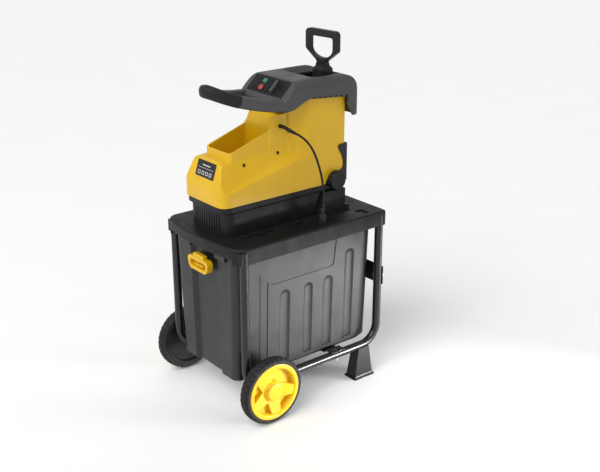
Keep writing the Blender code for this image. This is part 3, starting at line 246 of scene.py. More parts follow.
def plastic(name, colour, roughness, grain, wear=0.25, coat=0.0, specular=0.5):
    """Moulded plastic: slight mottling, a fine spark-eroded grain, soft sink marks and rubbed edges."""
    made, tree, shader = new_finish(name, Specular_IOR_Level=specular, Coat_Weight=coat, Coat_Roughness=0.18)
    mottled = mix(tree, noise(tree, 14, 5), tinted(colour, 0.90), tinted(colour, 1.08))
    pale = tuple(channel * (1 - wear) + wear * 0.5 for channel in colour)
    rubbed = mix(tree, spread(tree, noise(tree, 120, 2), 0.0, 0.5), mottled, pale)
    tree.links.new(mix(tree, edges(tree), mottled, rubbed), shader.inputs["Base Color"])
    low, high = roughness
    scuffed = spread(tree, total(tree, noise(tree, 22, 6), spread(tree, noise(tree, 240, 3), -0.08, 0.08)),
                     low, high)
    tree.links.new(scuffed, shader.inputs["Roughness"])
    waves = bump(tree, noise(tree, 9, 1), 0.0012)
    scale, depth = grain
    tree.links.new(bump(tree, noise(tree, scale, 2), depth, waves), shader.inputs["Normal"])
    return made


def rubber(name, colour):
    made, tree, shader = new_finish(name, Specular_IOR_Level=0.35)
    dust = spread(tree, noise(tree, 26, 6), 0.0, 0.5, 0.45, 0.75)
    tree.links.new(mix(tree, dust, colour, tinted(colour, 1.9)), shader.inputs["Base Color"])
    tree.links.new(spread(tree, noise(tree, 60, 4), 0.66, 0.92), shader.inputs["Roughness"])
    tree.links.new(bump(tree, noise(tree, 700, 3), 0.00012), shader.inputs["Normal"])
    return made


def enamel(name, colour):
    """Powder coat over steel: orange peel and a clear gloss."""
    made, tree, shader = new_finish(name, Specular_IOR_Level=0.45, Coat_Weight=0.15, Coat_Roughness=0.14)
    tree.links.new(mix(tree, noise(tree, 18, 4), colour, tinted(colour, 1.25)), shader.inputs["Base Color"])
    tree.links.new(spread(tree, noise(tree, 30, 4), 0.25, 0.33), shader.inputs["Roughness"])
    tree.links.new(bump(tree, noise(tree, 260, 1), 0.00002), shader.inputs["Normal"])
    return made


def metal(name, colour, roughness, stretch, depth=0.00003):
    """Bare metal with fine machining or rolling lines along one direction."""
    made, tree, shader = new_finish(name, Metallic=1.0)
    tarnish = mix(tree, noise(tree, 30, 6), tinted(colour, 0.72), colour)
    tree.links.new(tarnish, shader.inputs["Base Color"])
    low, high = roughness
    lines = noise(tree, 240, 4, stretch)
    tree.links.new(spread(tree, lines, low, high), shader.inputs["Roughness"])
    tree.links.new(bump(tree, lines, depth), shader.inputs["Normal"])
    return made


def windings(name, colour):
    made, tree, shader = new_finish(name, Metallic=0.9, Coat_Weight=0.5, Coat_Roughness=0.25)
    place = tree.nodes.new("ShaderNodeTexCoord")
    wave = tree.nodes.new("ShaderNodeTexWave")
    wave.inputs["Scale"].default_value = 260
    wave.inputs["Distortion"].default_value = 1.2
    tree.links.new(place.outputs["Object"], wave.inputs["Vector"])
    # The wave's low lines, the grooves between the turns, are painted darker: painted shade.
    tree.links.new(mix(tree, wave.outputs["Fac"], tinted(colour, 0.45), colour), shader.inputs["Base Color"])
    tree.links.new(spread(tree, noise(tree, 90, 4), 0.25, 0.5), shader.inputs["Roughness"])
    tree.links.new(bump(tree, wave.outputs["Fac"], 0.0003), shader.inputs["Normal"])
    return made


def floor_finish():
    made, tree, shader = new_finish("studio_floor", Specular_IOR_Level=0.2)
    tree.links.new(mix(tree, noise(tree, 3, 2), (0.90, 0.90, 0.90), (0.93, 0.93, 0.93)),
                   shader.inputs["Base Color"])
    tree.links.new(spread(tree, noise(tree, 5, 3), 0.55, 0.70), shader.inputs["Roughness"])
    return made


FINE_GRAIN = (900, 0.00006)
COARSE_GRAIN = (560, 0.00014)
SMOOTH_GRAIN = (1200, 0.00002)

# finish name: (material, the record's slot)
FINISHES = {
    "deck": (plastic("deck_plastic", (0.0070, 0.0070, 0.0075), (0.40, 0.54), COARSE_GRAIN, 0.05,
                     specular=0.22),
             "black_plastic"),
    "box": (plastic("box_plastic", (0.0085, 0.0085, 0.0090), (0.38, 0.48), FINE_GRAIN, 0.04, specular=0.50),
            "black_plastic"),
    "black": (plastic("black_moulding", (0.0065, 0.0065, 0.0070), (0.36, 0.50), FINE_GRAIN, 0.05,
                      specular=0.24),
              "black_plastic"),
    "satin": (plastic("satin_black", (0.0085, 0.0085, 0.0090), (0.32, 0.44), SMOOTH_GRAIN, 0.05,
                      specular=0.28),
              "black_plastic"),
    "dark": (plastic("soft_grip", (0.0130, 0.0130, 0.0135), (0.46, 0.62), COARSE_GRAIN, 0.04, specular=0.24),
             "dark_grey_plastic"),
    "hood": (plastic("hood_plastic", (0.056, 0.056, 0.058), (0.36, 0.48), FINE_GRAIN, 0.06, specular=0.36),
             "grey_plastic"),
    "yellow": (plastic("yellow_shell", (0.67, 0.400, 0.0035), (0.30, 0.40), SMOOTH_GRAIN, 0.03, 0.10, 0.40),
               "yellow_plastic"),
    "tube": (enamel("black_enamel", (0.0050, 0.0050, 0.0055)), "black_enamel"),
    "tyre": (rubber("tyre_rubber", (0.0125, 0.0125, 0.0130)), "tyre_rubber"),
    "lead": (rubber("lead_sheath", (0.0090, 0.0090, 0.0095)), "lead_rubber"),
    "steel": (metal("zinc_steel", (0.58, 0.58, 0.59), (0.26, 0.42), (1, 1, 6)), "steel"),
    "blackened": (metal("blackened_steel", (0.10, 0.10, 0.105), (0.30, 0.46), (1, 1, 3)), "steel"),
    "ground": (metal("ground_steel", (0.50, 0.51, 0.52), (0.18, 0.34), (1, 8, 1)), "steel"),
    "copper": (windings("copper_windings", (0.70, 0.30, 0.13)), "copper"),
    "alloy": (metal("cast_alloy", (0.66, 0.66, 0.68), (0.34, 0.52), (1, 1, 1), 0.0001), "cast_alloy"),
    "red": (plastic("red_plastic", (0.36, 0.018, 0.018), (0.26, 0.36), SMOOTH_GRAIN, 0.05, 0.3),
            "red_plastic"),
    "green": (plastic("green_plastic", (0.02, 0.17, 0.10), (0.28, 0.40), SMOOTH_GRAIN, 0.05, 0.2),
              "green_plastic"),
    "label": (plastic("label_film", (0.009, 0.009, 0.010), (0.20, 0.34), SMOOTH_GRAIN, 0.02, 0.2, 0.3),
              "label"),
    "print": (plastic("label_print", (0.50, 0.50, 0.49), (0.34, 0.44), SMOOTH_GRAIN, 0.02), "label"),
}
BODY_OF = {node: body for body, nodes in frame["record"]["behaviour"]["bodies"].items() for node in nodes}


# ---------------------------------------------------------------- modelling helpers
def hold(name, mesh):
    made = bpy.data.objects.new(name, mesh)
    bpy.context.scene.collection.objects.link(made)
    return made


def mesh_from(name, work):
    bmesh.ops.recalc_face_normals(work, faces=work.faces)
    mesh = bpy.data.meshes.new(name)
    work.to_mesh(mesh)
    work.free()
    return mesh


def loft(name, rings, closed=False):
    """Rings of equal point count, skinned one to the next; capped at both ends unless closed on itself."""
    work = bmesh.new()
    rows = [[work.verts.new(p) for p in ring] for ring in rings]
    if not closed:
        work.faces.new(rows[0])
        work.faces.new(rows[-1])
    following = rows[1:] + ([rows[0]] if closed else [])
    for row, after in zip(rows, following):
        for i in range(len(row)):
            j = (i + 1) % len(row)
            work.faces.new((row[i], row[j], after[j], after[i]))
    return hold(name, mesh_from(name, work))


def prism(name, outline, start, end):
    low = [Vector(p) + Vector(start) for p in outline]
    high = [Vector(p) + Vector(end) for p in outline]
    return loft(name, [low, high])


def block(name, low, high):
    (x0, y0, z0), (x1, y1, z1) = low, high
    outline = [(x0, y0, 0), (x1, y0, 0), (x1, y1, 0), (x0, y1, 0)]
    return prism(name, outline, (0, 0, z0), (0, 0, z1))


def rod(name, start, end, radius, sides=32, end_radius=None):
    start, end = Vector(start), Vector(end)
    work = bmesh.new()
    bmesh.ops.create_cone(
        work, cap_ends=True, segments=sides, radius1=radius,
        radius2=radius if end_radius is None else end_radius, depth=(end - start).length,
    )
    turn = Vector((0, 0, 1)).rotation_difference(end - start).to_matrix().to_4x4()
    bmesh.ops.transform(work, matrix=Matrix.Translation((start + end) / 2) @ turn, verts=work.verts)
    return hold(name, mesh_from(name, work))


def turned(name, profile, centre, axis, sides=64):
    """A closed profile of (radius, height) turned about an axis; a radius of zero closes on the axis."""
    work = bmesh.new()
    turn = Matrix.Translation(centre) @ Vector((0, 0,
                                                1)).rotation_difference(Vector(axis)).to_matrix().to_4x4()
    points = [work.verts.new((radius, 0.0, height)) for radius, height in profile]
    lines = [work.edges.new(pair) for pair in zip(points, points[1:])]
    if profile[0][0] > 0:
        lines.append(work.edges.new((points[-1], points[0])))
    bmesh.ops.spin(
        work, geom=points + lines, cent=(0, 0, 0), axis=(0, 0, 1), angle=2 * math.pi, steps=sides,
        use_merge=True,
    )
    bmesh.ops.remove_doubles(work, verts=work.verts, dist=0.00001)
    bmesh.ops.transform(work, matrix=turn, verts=work.verts)
    return hold(name, mesh_from(name, work))


def arc(cx, cy, radius, start, end, steps):
    angles = [math.radians(start + (end - start) * i / steps) for i in range(steps + 1)]
    return [(cx + radius * math.cos(a), cy + radius * math.sin(a)) for a in angles]


def rounded(low, high, radius, steps=8):
    (x0, y0), (x1, y1) = low, high
    return (
        arc(x1 - radius, y0 + radius, radius, -90, 0, steps)
        + arc(x1 - radius, y1 - radius, radius, 0, 90, steps)
        + arc(x0 + radius, y1 - radius, radius, 90, 180, steps)
        + arc(x0 + radius, y0 + radius, radius, 180, 270, steps)
    )


def at_height(outline, z):
    return [(x, y, z) for x, y in outline]


def mirrored(points):
    return [(-x, y) for x, y in reversed(points)]


def combine(target, tool, operation, solver="EXACT"):
    step = target.modifiers.new(operation.lower(), "BOOLEAN")
    step.operation = operation
    step.solver = solver
    step.object = tool
    tool.hide_render = True
    return target


def cut(target, *tools):
    for tool in tools:
        combine(target, tool, "DIFFERENCE")
    return target


def carve(target, *tools):
    """Cuts a dense closed mesh."""
    for tool in tools:
        settle(combine(target, settle(tool), "DIFFERENCE", "MANIFOLD"))
    return target


def join(target, *tools):
    for tool in tools:
        combine(target, tool, "UNION")
    return target


def keep(target, tool):
    return combine(target, tool, "INTERSECT")


def settle(made):
    """Applies the modifiers and removes the tools they used."""
    tools = {step.object for step in made.modifiers if step.type == "BOOLEAN"}
    bpy.context.view_layer.update()
    result = made.evaluated_get(bpy.context.evaluated_depsgraph_get())
    mesh = bpy.data.meshes.new_from_object(result)
    made.modifiers.clear()
    made.data = mesh
    for tool in tools:
        bpy.data.objects.remove(tool)
    return made


def soften(made, width, segments=3, angle=30):
    """Rounds every edge sharper than the angle."""
    settle(made)
    work = bmesh.new()
    work.from_mesh(made.data)
    bmesh.ops.remove_doubles(work, verts=work.verts, dist=0.00002)
    work.to_mesh(made.data)
    work.free()
    step = made.modifiers.new("rounding", "BEVEL")
    step.width = width
    step.segments = segments
    step.limit_method = "ANGLE"
    step.angle_limit = math.radians(angle)
    step.miter_outer = "MITER_ARC"
    return settle(made)


def melt(made, voxel, passes, share):
    """Remeshes a solid finely and relaxes it, which rounds all its edges and corners alike, then thins it."""
    settle(made)
    step = made.modifiers.new("remesh", "REMESH")
    step.mode = "VOXEL"
    step.voxel_size = voxel
    relax = made.modifiers.new("relax", "SMOOTH")
    relax.factor = 0.5
    relax.iterations = passes
    made.modifiers.new("thin", "DECIMATE").ratio = share
    return settle(made)


def moved(made, matrix):
    made.data.transform(matrix)
    return made


def piece(made, finish, *nodes, body=None, smooth=35):
    """Finishes a piece: its place in the frame, its material, its body and the CAD nodes it stands for."""
    settle(made)
    made.data.transform(Matrix.Translation(SHIFT))
    look, slot = FINISHES[finish]
    made.data.materials.clear()
    made.data.materials.append(look)
    made.data.shade_smooth()
    made.data.set_sharp_from_angle(angle=math.radians(smooth))
    weights = made.modifiers.new("weights", "WEIGHTED_NORMAL")
    weights.keep_sharp = True
    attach(made, body or BODY_OF[nodes[0]])
    if nodes:
        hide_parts(*nodes)
    return made


def carry(finish, width, *nodes):
    """Keeps CAD nodes whose shape is right, with rounded edges and a real finish."""
    look, slot = FINISHES[finish]
    for node in nodes:
        made = frame["nodes"][node]
        made.data.materials.clear()
        made.data.materials.append(look)
        weld = made.modifiers.new("weld", "WELD")
        weld.merge_threshold = 0.00002
        if width:
            step = made.modifiers.new("rounding", "BEVEL")
            step.width = width
            step.segments = 2
            step.limit_method = "ANGLE"
            step.angle_limit = math.radians(35)
        made.modifiers.new("weights", "WEIGHTED_NORMAL").keep_sharp = True


def route_through(points, per_span=6):
    """Catmull-Rom points through a route's own points."""
    points = [Vector(p) for p in points]
    ends = [points[0] * 2 - points[1]] + points + [points[-1] * 2 - points[-2]]
    route = []
    for i in range(1, len(ends) - 2):
        p0, p1, p2, p3 = ends[i - 1:i + 3]
        for k in range(per_span):
            t = k / per_span
            route.append(0.5 * (
                2 * p1 + (p2 - p0) * t + (2 * p0 - 5 * p1 + 4 * p2 - p3) * t * t
                + (3 * p1 - p0 - 3 * p2 + p3) * t ** 3
            ))
    return route + [points[-1]]


def bar_rings(points, width, height, steps=24, squareness=0.7, swell=None):
    """Rounded-rectangle sections square to a path in space, kept upright; swell scales each one."""
    rings = []
    for i, point in enumerate(points):
        along = (Vector(points[min(i + 1, len(points) - 1)]) - Vector(points[max(i - 1, 0)])).normalized()
        across = along.cross(Vector((0, 0, 1))).normalized()
        up = across.cross(along)
        size = swell(i) if swell else 1.0
        ring = []
        for k in range(steps):
            angle = 2 * math.pi * (k + 0.5) / steps
            c, s = math.cos(angle), math.sin(angle)
            ring.append(
                Vector(point)
                + across * (size * width / 2 * math.copysign(abs(c) ** squareness, c))
                + up * (size * height / 2 * math.copysign(abs(s) ** squareness, s))
            )
        rings.append(ring)
    return rings


def swept_tube(name, points, radius, sides=24):
    """A round bar along a path, with a turn-free frame."""
    rings = []
    side = None
    for i, point in enumerate(points):
        along = (Vector(points[min(i + 1, len(points) - 1)]) - Vector(points[max(i - 1, 0)])).normalized()
        if side is None:
            side = along.orthogonal().normalized()
        side = (side - along * side.dot(along)).normalized()
        other = along.cross(side)
        rings.append([
            Vector(point) + radius * (math.cos(a) * side + math.sin(a) * other)
            for a in (2 * math.pi * k / sides for k in range(sides))
        ])
    return loft(name, rings)


# ---------------------------------------------------------------- interlock lead
LEAD_RADIUS = 0.0032
LEAD_POINTS = (
    (0.1130, -0.0215, 0.7975), (0.1200, -0.0120, 0.7910), (0.1270, 0.0020, 0.7780), (0.1330, 0.0160, 0.7590),
    (0.1380, 0.0280, 0.7340), (0.1425, 0.0370, 0.7050), (0.1470, 0.0440, 0.6730), (0.1510, 0.0470, 0.6420),
    (0.1545, 0.0485, 0.6080),
)


def make_interlock():
    """The lead from the housing's gland down to its plug in the deck, with both rubber ends."""
    route = [point + SHIFT for point in route_through(LEAD_POINTS)]
    line = bpy.data.curves.new("interlock_lead_cord", "CURVE")
    line.dimensions = "3D"
    line.bevel_depth = LEAD_RADIUS
    line.bevel_resolution = 6
    line.use_fill_caps = True
    spline = line.splines.new("POLY")
    spline.points.add(len(route) - 1)
    for point, where in zip(spline.points, route):
        point.co = (*where, 1.0)
    lead = hold("interlock_lead_cord", line)
    line.materials.append(FINISHES["lead"][0])
    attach(lead, BODY_OF["interlock_lead"])
    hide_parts("interlock_lead")

    gland = Vector((0.0700, -0.036, 0.811))
    start = Vector(LEAD_POINTS[0])
    run = (Vector(LEAD_POINTS[1]) - start).normalized()
    end = start - run * 0.0003
    path = [gland - Vector((0.006, 0, 0)), gland + Vector((0.012, 0, 0)), end - run * 0.022,
            end - run * 0.012, end]
    stations = route_through(path, 10)

    def sleeve_swell(i):
        share = i / (len(stations) - 1)
        collar = 1.22 if 0.52 < share < 0.62 else 1.0
        ridge = 0.05 * math.cos(i * 1.9) if share > 0.62 else 0.0
        return (1.02 - 0.22 * share) * collar + ridge

    sleeve = loft("interlock_sleeve", bar_rings(stations, 0.0112, 0.0112, 24, 1.0, sleeve_swell))
    piece(sleeve, "satin", "cable_sleeve", smooth=50)

    foot = Vector((0.146, 0.048, DECK_TOP - 0.0017))
    rings = []
    for height, radius, lean in (
        (0.0, 0.0112, 0.0), (0.0012, 0.0120, 0.0), (0.0060, 0.0120, 0.0), (0.0068, 0.0112, 0.0),
        (0.0082, 0.0112, 0.0), (0.0090, 0.0120, 0.0), (0.0150, 0.0120, 0.0), (0.0158, 0.0112, 0.0),
        (0.0172, 0.0112, 0.0), (0.0180, 0.0120, 0.0), (0.0234, 0.0118, 0.0001), (0.0262, 0.0104, 0.0004),
        (0.0285, 0.0090, 0.0008), (0.0360, 0.0084, 0.0018), (0.0432, 0.0084, 0.0029),
        (0.0446, 0.0078, 0.0032),
        (0.0462, 0.0064, 0.0035),
    ):
        rings.append(at_height(arc(foot.x + lean, foot.y, radius, 0, 348.75, 31), foot.z + height))
    for i in range(10):
        height = 0.0480 + 0.0031 * i
        radius = 0.0060 - 0.0013 * i / 9 + (0.0004 if i % 2 else -0.0003)
        rings.append(at_height(arc(foot.x + 0.0038 + 0.0047 * i / 9, foot.y, radius, 0, 348.75, 31),
                               foot.z + height))
    rings.append(at_height(arc(foot.x + 0.0085, foot.y, 0.0042, 0, 348.75, 31), foot.z + 0.0789))
    plug = piece(loft("interlock_plug_body", rings), "satin", "interlock_plug", smooth=40)


# ---------------------------------------------------------------- deck
def deck_outline(inset=0.0, steps=10):
    """Plan of the deck: square at the back, rounded and bowed at the front."""
    half = DECK_HALF_WIDTH - inset
    front = DECK_FRONT + inset
    rear = DECK_REAR - inset
    corner = 0.028
    small = 0.008
    right = arc(half - corner, front + corner, corner, -62, 0, steps)
    right += arc(half - small, rear - small, small, 0, 90, 5)
    span = half - corner * 1.05
    bow = []
    for i in range(17):
        x = -span + 2 * span * i / 16
        bow.append((x, front - DECK_BOW * (1 - (x / half) ** 2)))
    return right + mirrored(right) + bow


def make_deck():
    deck = loft("deck_shell", [
        at_height(deck_outline(inset), z) for inset, z in (
            (0.0010, DECK_RIM), (0.0, DECK_RIM + 0.0012), (0.0, DECK_TOP - 0.0055),
            (0.0007, DECK_TOP - 0.0028),
            (0.0024, DECK_TOP - 0.0008), (0.0050, DECK_TOP),
        )
    ])
    cut(deck, prism("hollow", at_height(deck_outline(DECK_WALL), 0), (0, 0, DECK_RIM - 0.01),
                    (0, 0, DECK_TOP - DECK_PLATE)))
    cut(deck, block("fascia_cut", (-0.1545, -0.32, DECK_RIM - 0.01), (0.1545, -0.255, DECK_FASCIA)))
    cut(deck, block("discharge_cut", (-0.066, 0.056, 0.50), (0.050, 0.166, 0.55)))
    for side in (1, -1):
        for y in (UPRIGHT_FRONT, UPRIGHT_REAR):
            x = side * UPRIGHT_X
            inner = side * (UPRIGHT_X - 0.020)
            outer = side * (DECK_HALF_WIDTH - 0.002)
            back = y + (0.019 if y < 0 else -0.019)
            edge = DECK_FRONT + 0.002 if y < 0 else DECK_REAR - 0.002
            plan = rounded((min(inner, outer), min(back, edge)), (max(inner, outer), max(back, edge)), 0.004,
                           3)
            join(deck, prism("socket", at_height(plan, 0), (0, 0, 0.486),
                             (0, 0, DECK_TOP - DECK_PLATE + 0.0005)))
            cut(deck, rod("socket_hole", (x, y, 0.47), (x, y, TUBE_TOP + 0.0003), TUBE_RADIUS + 0.0003, 32))
    for x, y0, y1 in ((0.1065, -0.205, -0.095), (0.1090, -0.045, 0.010), (0.1065, 0.105, 0.188)):
        for side in (1, -1):
            slot = rounded((side * x - 0.0062, y0), (side * x + 0.0062, y1), 0.0022, 3)
            cut(deck, prism("slot", at_height(slot, 0), (0, 0, DECK_TOP - 0.0045), (0, 0, DECK_TOP + 0.01)))
            bar = rounded((side * (x - 0.0015) - 0.0022, y0 + 0.003),
                          (side * (x - 0.0015) + 0.0022, y1 - 0.022),
                          0.0015, 3)
            join(deck, prism("bar", at_height(bar, 0), (0, 0, DECK_TOP - 0.006), (0, 0, DECK_TOP + 0.0006)))
    for side in (1, -1):
        pad = rounded((side * 0.150 - 0.018, 0.185), (side * 0.150 + 0.018, 0.214), 0.003, 3)
        cut(deck, prism("pad", at_height(pad, 0), (0, 0, DECK_TOP - 0.0035), (0, 0, DECK_TOP + 0.01)))
    join(deck, rod("cup", (0.146, 0.048, DECK_TOP - 0.004), (0.146, 0.048, DECK_TOP + 0.008), 0.0165, 40,
                   0.0150))
    cut(deck, rod("cup_seat", (0.146, 0.048, DECK_TOP - 0.002), (0.146, 0.048, DECK_TOP + 0.02), 0.0125, 40))
    soften(deck, 0.0007, 2, 35)
    piece(deck, "deck", "deck")


# ---------------------------------------------------------------- frame, feet and wheels
def frame_path(x):
    low = RAIL_Z + BEND_RADIUS
    points = [(x, UPRIGHT_FRONT, TUBE_TOP), (x, UPRIGHT_FRONT, 0.40), (x, UPRIGHT_FRONT, 0.25)]
    points += [(x, y, z) for y, z in arc(UPRIGHT_FRONT + BEND_RADIUS, low, BEND_RADIUS, 180, 270, 16)]
    points += [(x, -0.08, RAIL_Z), (x, 0.08, RAIL_Z)]
    points += [(x, y, z) for y, z in arc(UPRIGHT_REAR - BEND_RADIUS, low, BEND_RADIUS, 270, 360, 16)]
    return points + [(x, UPRIGHT_REAR, 0.25), (x, UPRIGHT_REAR, 0.40), (x, UPRIGHT_REAR, TUBE_TOP)]


def make_side_frame(label, side):
    tube = swept_tube("frame_tube_" + label, frame_path(side * UPRIGHT_X), TUBE_RADIUS, 32)
    piece(tube, "tube", "side_frame_" + label, smooth=50)


def make_foot(label, side):
    def ring(half_x, y0, y1, z):
        x = side * 0.1722
        return at_height(rounded((x - half_x, y0), (x + half_x, y1), 0.0022, 3), z)

    foot = loft("foot_moulding_" + label, [
        ring(0.0253, 0.1447, 0.2244, 0.0), ring(0.0255, 0.1445, 0.2246, 0.0008),
        ring(0.0252, 0.1448, 0.2243, 0.0038),
        ring(0.0240, 0.1462, 0.2228, 0.0052), ring(0.0216, 0.1488, 0.2197, 0.0085),
        ring(0.0211, 0.1496, 0.2192, 0.012),
        ring(0.0165, 0.1640, 0.2080, 0.0985),
    ])
    cut(foot, swept_tube("seat", frame_path(side * UPRIGHT_X), TUBE_RADIUS + 0.0003, 32))
    piece(foot, "satin", "foot_" + label, smooth=30)


def make_tyre(label, side):
    """A solid tyre with block lugs cut across its shoulders."""
    middle = (TYRE_OUTER_X + TYRE_INNER_X) / 2
    half = (TYRE_OUTER_X - TYRE_INNER_X) / 2
    profile = (
        (RIM_RADIUS + 0.0003, -half + 0.0004, 0), (RIM_RADIUS + 0.0040, -half, 0),
        (0.0935, -half + 0.0002, 0),
        (0.0962, -half + 0.0022, 0.6), (0.0986, -half + 0.0060, 1), (0.0996, -0.0062, 1),
        (0.0997, -0.0040, 0.25),
        (0.1000, 0.0, 0.0), (0.0997, 0.0040, 0.25), (0.0996, 0.0062, 1), (0.0986, half - 0.0060, 1),
        (0.0962, half - 0.0022, 0.6), (0.0935, half - 0.0002, 0), (RIM_RADIUS + 0.0040, half, 0),
        (RIM_RADIUS + 0.0003, half - 0.0004, 0),
    )
    per_lug = 6
    lowered = (0.0, 0.0, 0.0, 1.0, 1.0, 1.0)
    rings = []
    for i in range(LUGS * per_lug):
        share = i % per_lug
        wide = {0: 0.0, 1: 0.36, 2: 0.60, 3: 0.68, 4: 0.84, 5: 0.94}[share]
        drop = 0.0028 * lowered[share]
        angle = 2 * math.pi * (i // per_lug + wide) / LUGS
        other = 2 * math.pi * (i // per_lug + wide + 0.5) / LUGS
        ring = []
        for radius, across, lug in profile:
            turn = angle if across < 0 else other
            size = radius - drop * lug
            ring.append((side * (middle + across), AXLE_Y + size * math.cos(turn),
                         WHEEL_RADIUS + size * math.sin(turn)))
        rings.append(ring)
    piece(loft("tyre_moulding_" + label, rings, closed=True), "tyre", "tyre_" + label, smooth=28)


def spoke_outline(angle, inner, outer, inner_half, outer_half):
    along = Vector((0, math.cos(angle), math.sin(angle)))
    across = Vector((0, -math.sin(angle), math.cos(angle)))
    centre = Vector((0, AXLE_Y, WHEEL_RADIUS))
    return centre, along, across, (
        (inner, inner_half), (outer, outer_half), (outer, -outer_half), (inner, -inner_half),
    )


def make_wheel(label, side):
    centre = (0, AXLE_Y, WHEEL_RADIUS)
    outward = (side, 0, 0)
    make_tyre(label, side)
    core = turned("wheel_dish_" + label, [
        (RIM_RADIUS, CORE_OUTER_X), (RIM_RADIUS, CORE_INNER_X + 0.0006), (RIM_RADIUS - 0.0006, CORE_INNER_X),
        (0.0775, CORE_INNER_X), (0.0765, CORE_INNER_X + 0.0006), (0.0725, CORE_INNER_X + 0.0075),
        (0.0240, CORE_INNER_X + 0.0090), (0.0205, CORE_INNER_X + 0.0080), (0.0190, CORE_INNER_X + 0.0008),
        (0.0182, CORE_INNER_X), (AXLE_RADIUS, CORE_INNER_X), (AXLE_RADIUS, CORE_OUTER_X - 0.002),
        (0.0300, CORE_OUTER_X - 0.002), (0.0340, CORE_OUTER_X - 0.0045), (0.0740, CORE_OUTER_X - 0.0045),
        (0.0770, CORE_OUTER_X),
    ], centre, outward, 96)
    soften(core, 0.0005, 2, 40)
    piece(core, "black", "wheel_core_" + label)

    crest = COVER_OUTER_X
    cover = turned("wheel_trim_" + label, [
        (0.0848, crest - 0.0022), (RIM_RADIUS, crest - 0.0040), (RIM_RADIUS, CORE_OUTER_X + 0.0003),
        (0.0680, CORE_OUTER_X + 0.0003), (0.0690, crest - 0.0085), (0.0705, crest - 0.0036),
        (0.0735, crest - 0.0006),
        (0.0752, crest), (0.0826, crest), (0.0840, crest - 0.0006),
    ], centre, outward, 120)
    hub = turned("hub", [
        (AXLE_RADIUS, CORE_OUTER_X + 0.0003), (0.0345, CORE_OUTER_X + 0.0003), (0.0318, crest - 0.0110),
        (0.0292, crest - 0.0052), (0.0280, crest - 0.0042), (AXLE_RADIUS, crest - 0.0040),
    ], centre, outward, 96)
    join(cover, hub)
    join(cover, turned("floor", [(0.0290, CORE_OUTER_X + 0.0003), (0.0725, CORE_OUTER_X + 0.0003),
                                 (0.0725, CORE_OUTER_X + 0.0030), (0.0290, CORE_OUTER_X + 0.0030)], centre,
                                 outward, 96))
    for i in range(SPOKES):
        angle = math.radians(360 * i / SPOKES + 60)
        middle, along, across, corners = spoke_outline(angle, 0.0240, 0.0735, 0.0225, 0.0140)
        rows = []
        for x_in, x_out in ((CORE_OUTER_X + 0.0003, CORE_OUTER_X + 0.0003), (crest - 0.0105, crest - 0.0032)):
            grow = 0.0016 if x_in == x_out else 0.0
            row = []
            for (a, b), x in zip(corners, (x_in, x_out, x_out, x_in)):
                row.append(middle + along * a + across * (b + math.copysign(grow, b)) + Vector((side * x, 0,
                                                                                                0)))
            rows.append(row)
        join(cover, loft("spoke", rows))
    soften(cover, 0.0009, 3, 30)
    piece(cover, "yellow", "wheel_cover_" + label)

    back = crest - 0.0037
    cap = turned("hub_cap_moulding_" + label, [
        (0.0, back + 0.0052), (0.0200, back + 0.0052), (0.0232, back + 0.0046), (0.0248, back + 0.0030),
        (0.0255, back + 0.0008), (0.0255, back), (0.0, back),
    ], centre, outward, 72)
    piece(cap, "yellow", "hub_cap_" + label, smooth=40)


# ---------------------------------------------------------------- collection box and its lock
GROOVES = ((-0.1085, -0.0695, 0.358), (-0.0195, 0.0155, 0.357), (0.0540, 0.0925, 0.359),
           (0.1370, 0.1735, 0.425))


def box_outline(z, inset=0.0):
    """Plan of the box at a height: it tapers downward, with a recess down the front."""
    rise = (z - BOX_BOTTOM) / (BOX_TOP - BOX_BOTTOM)
    half = 0.1385 + 0.0125 * rise - inset
    front = -0.2590 - 0.0050 * rise + inset
    rear = 0.2325 + 0.0045 * rise - inset
    corner = 0.024 - inset * 0.5
    rear_corner = 0.014 - inset * 0.5
    right = [(0.0565 + inset, front + 0.010), (0.0580 + inset, front + 0.0094),
             (0.0668 + inset, front + 0.0006),
             (0.0684 + inset, front)]
    right += arc(half - corner, front + corner, corner, -90, 0, 10)
    right += arc(half - rear_corner, rear - rear_corner, rear_corner, 0, 90, 6)
    return at_height(right + mirrored(right), z)


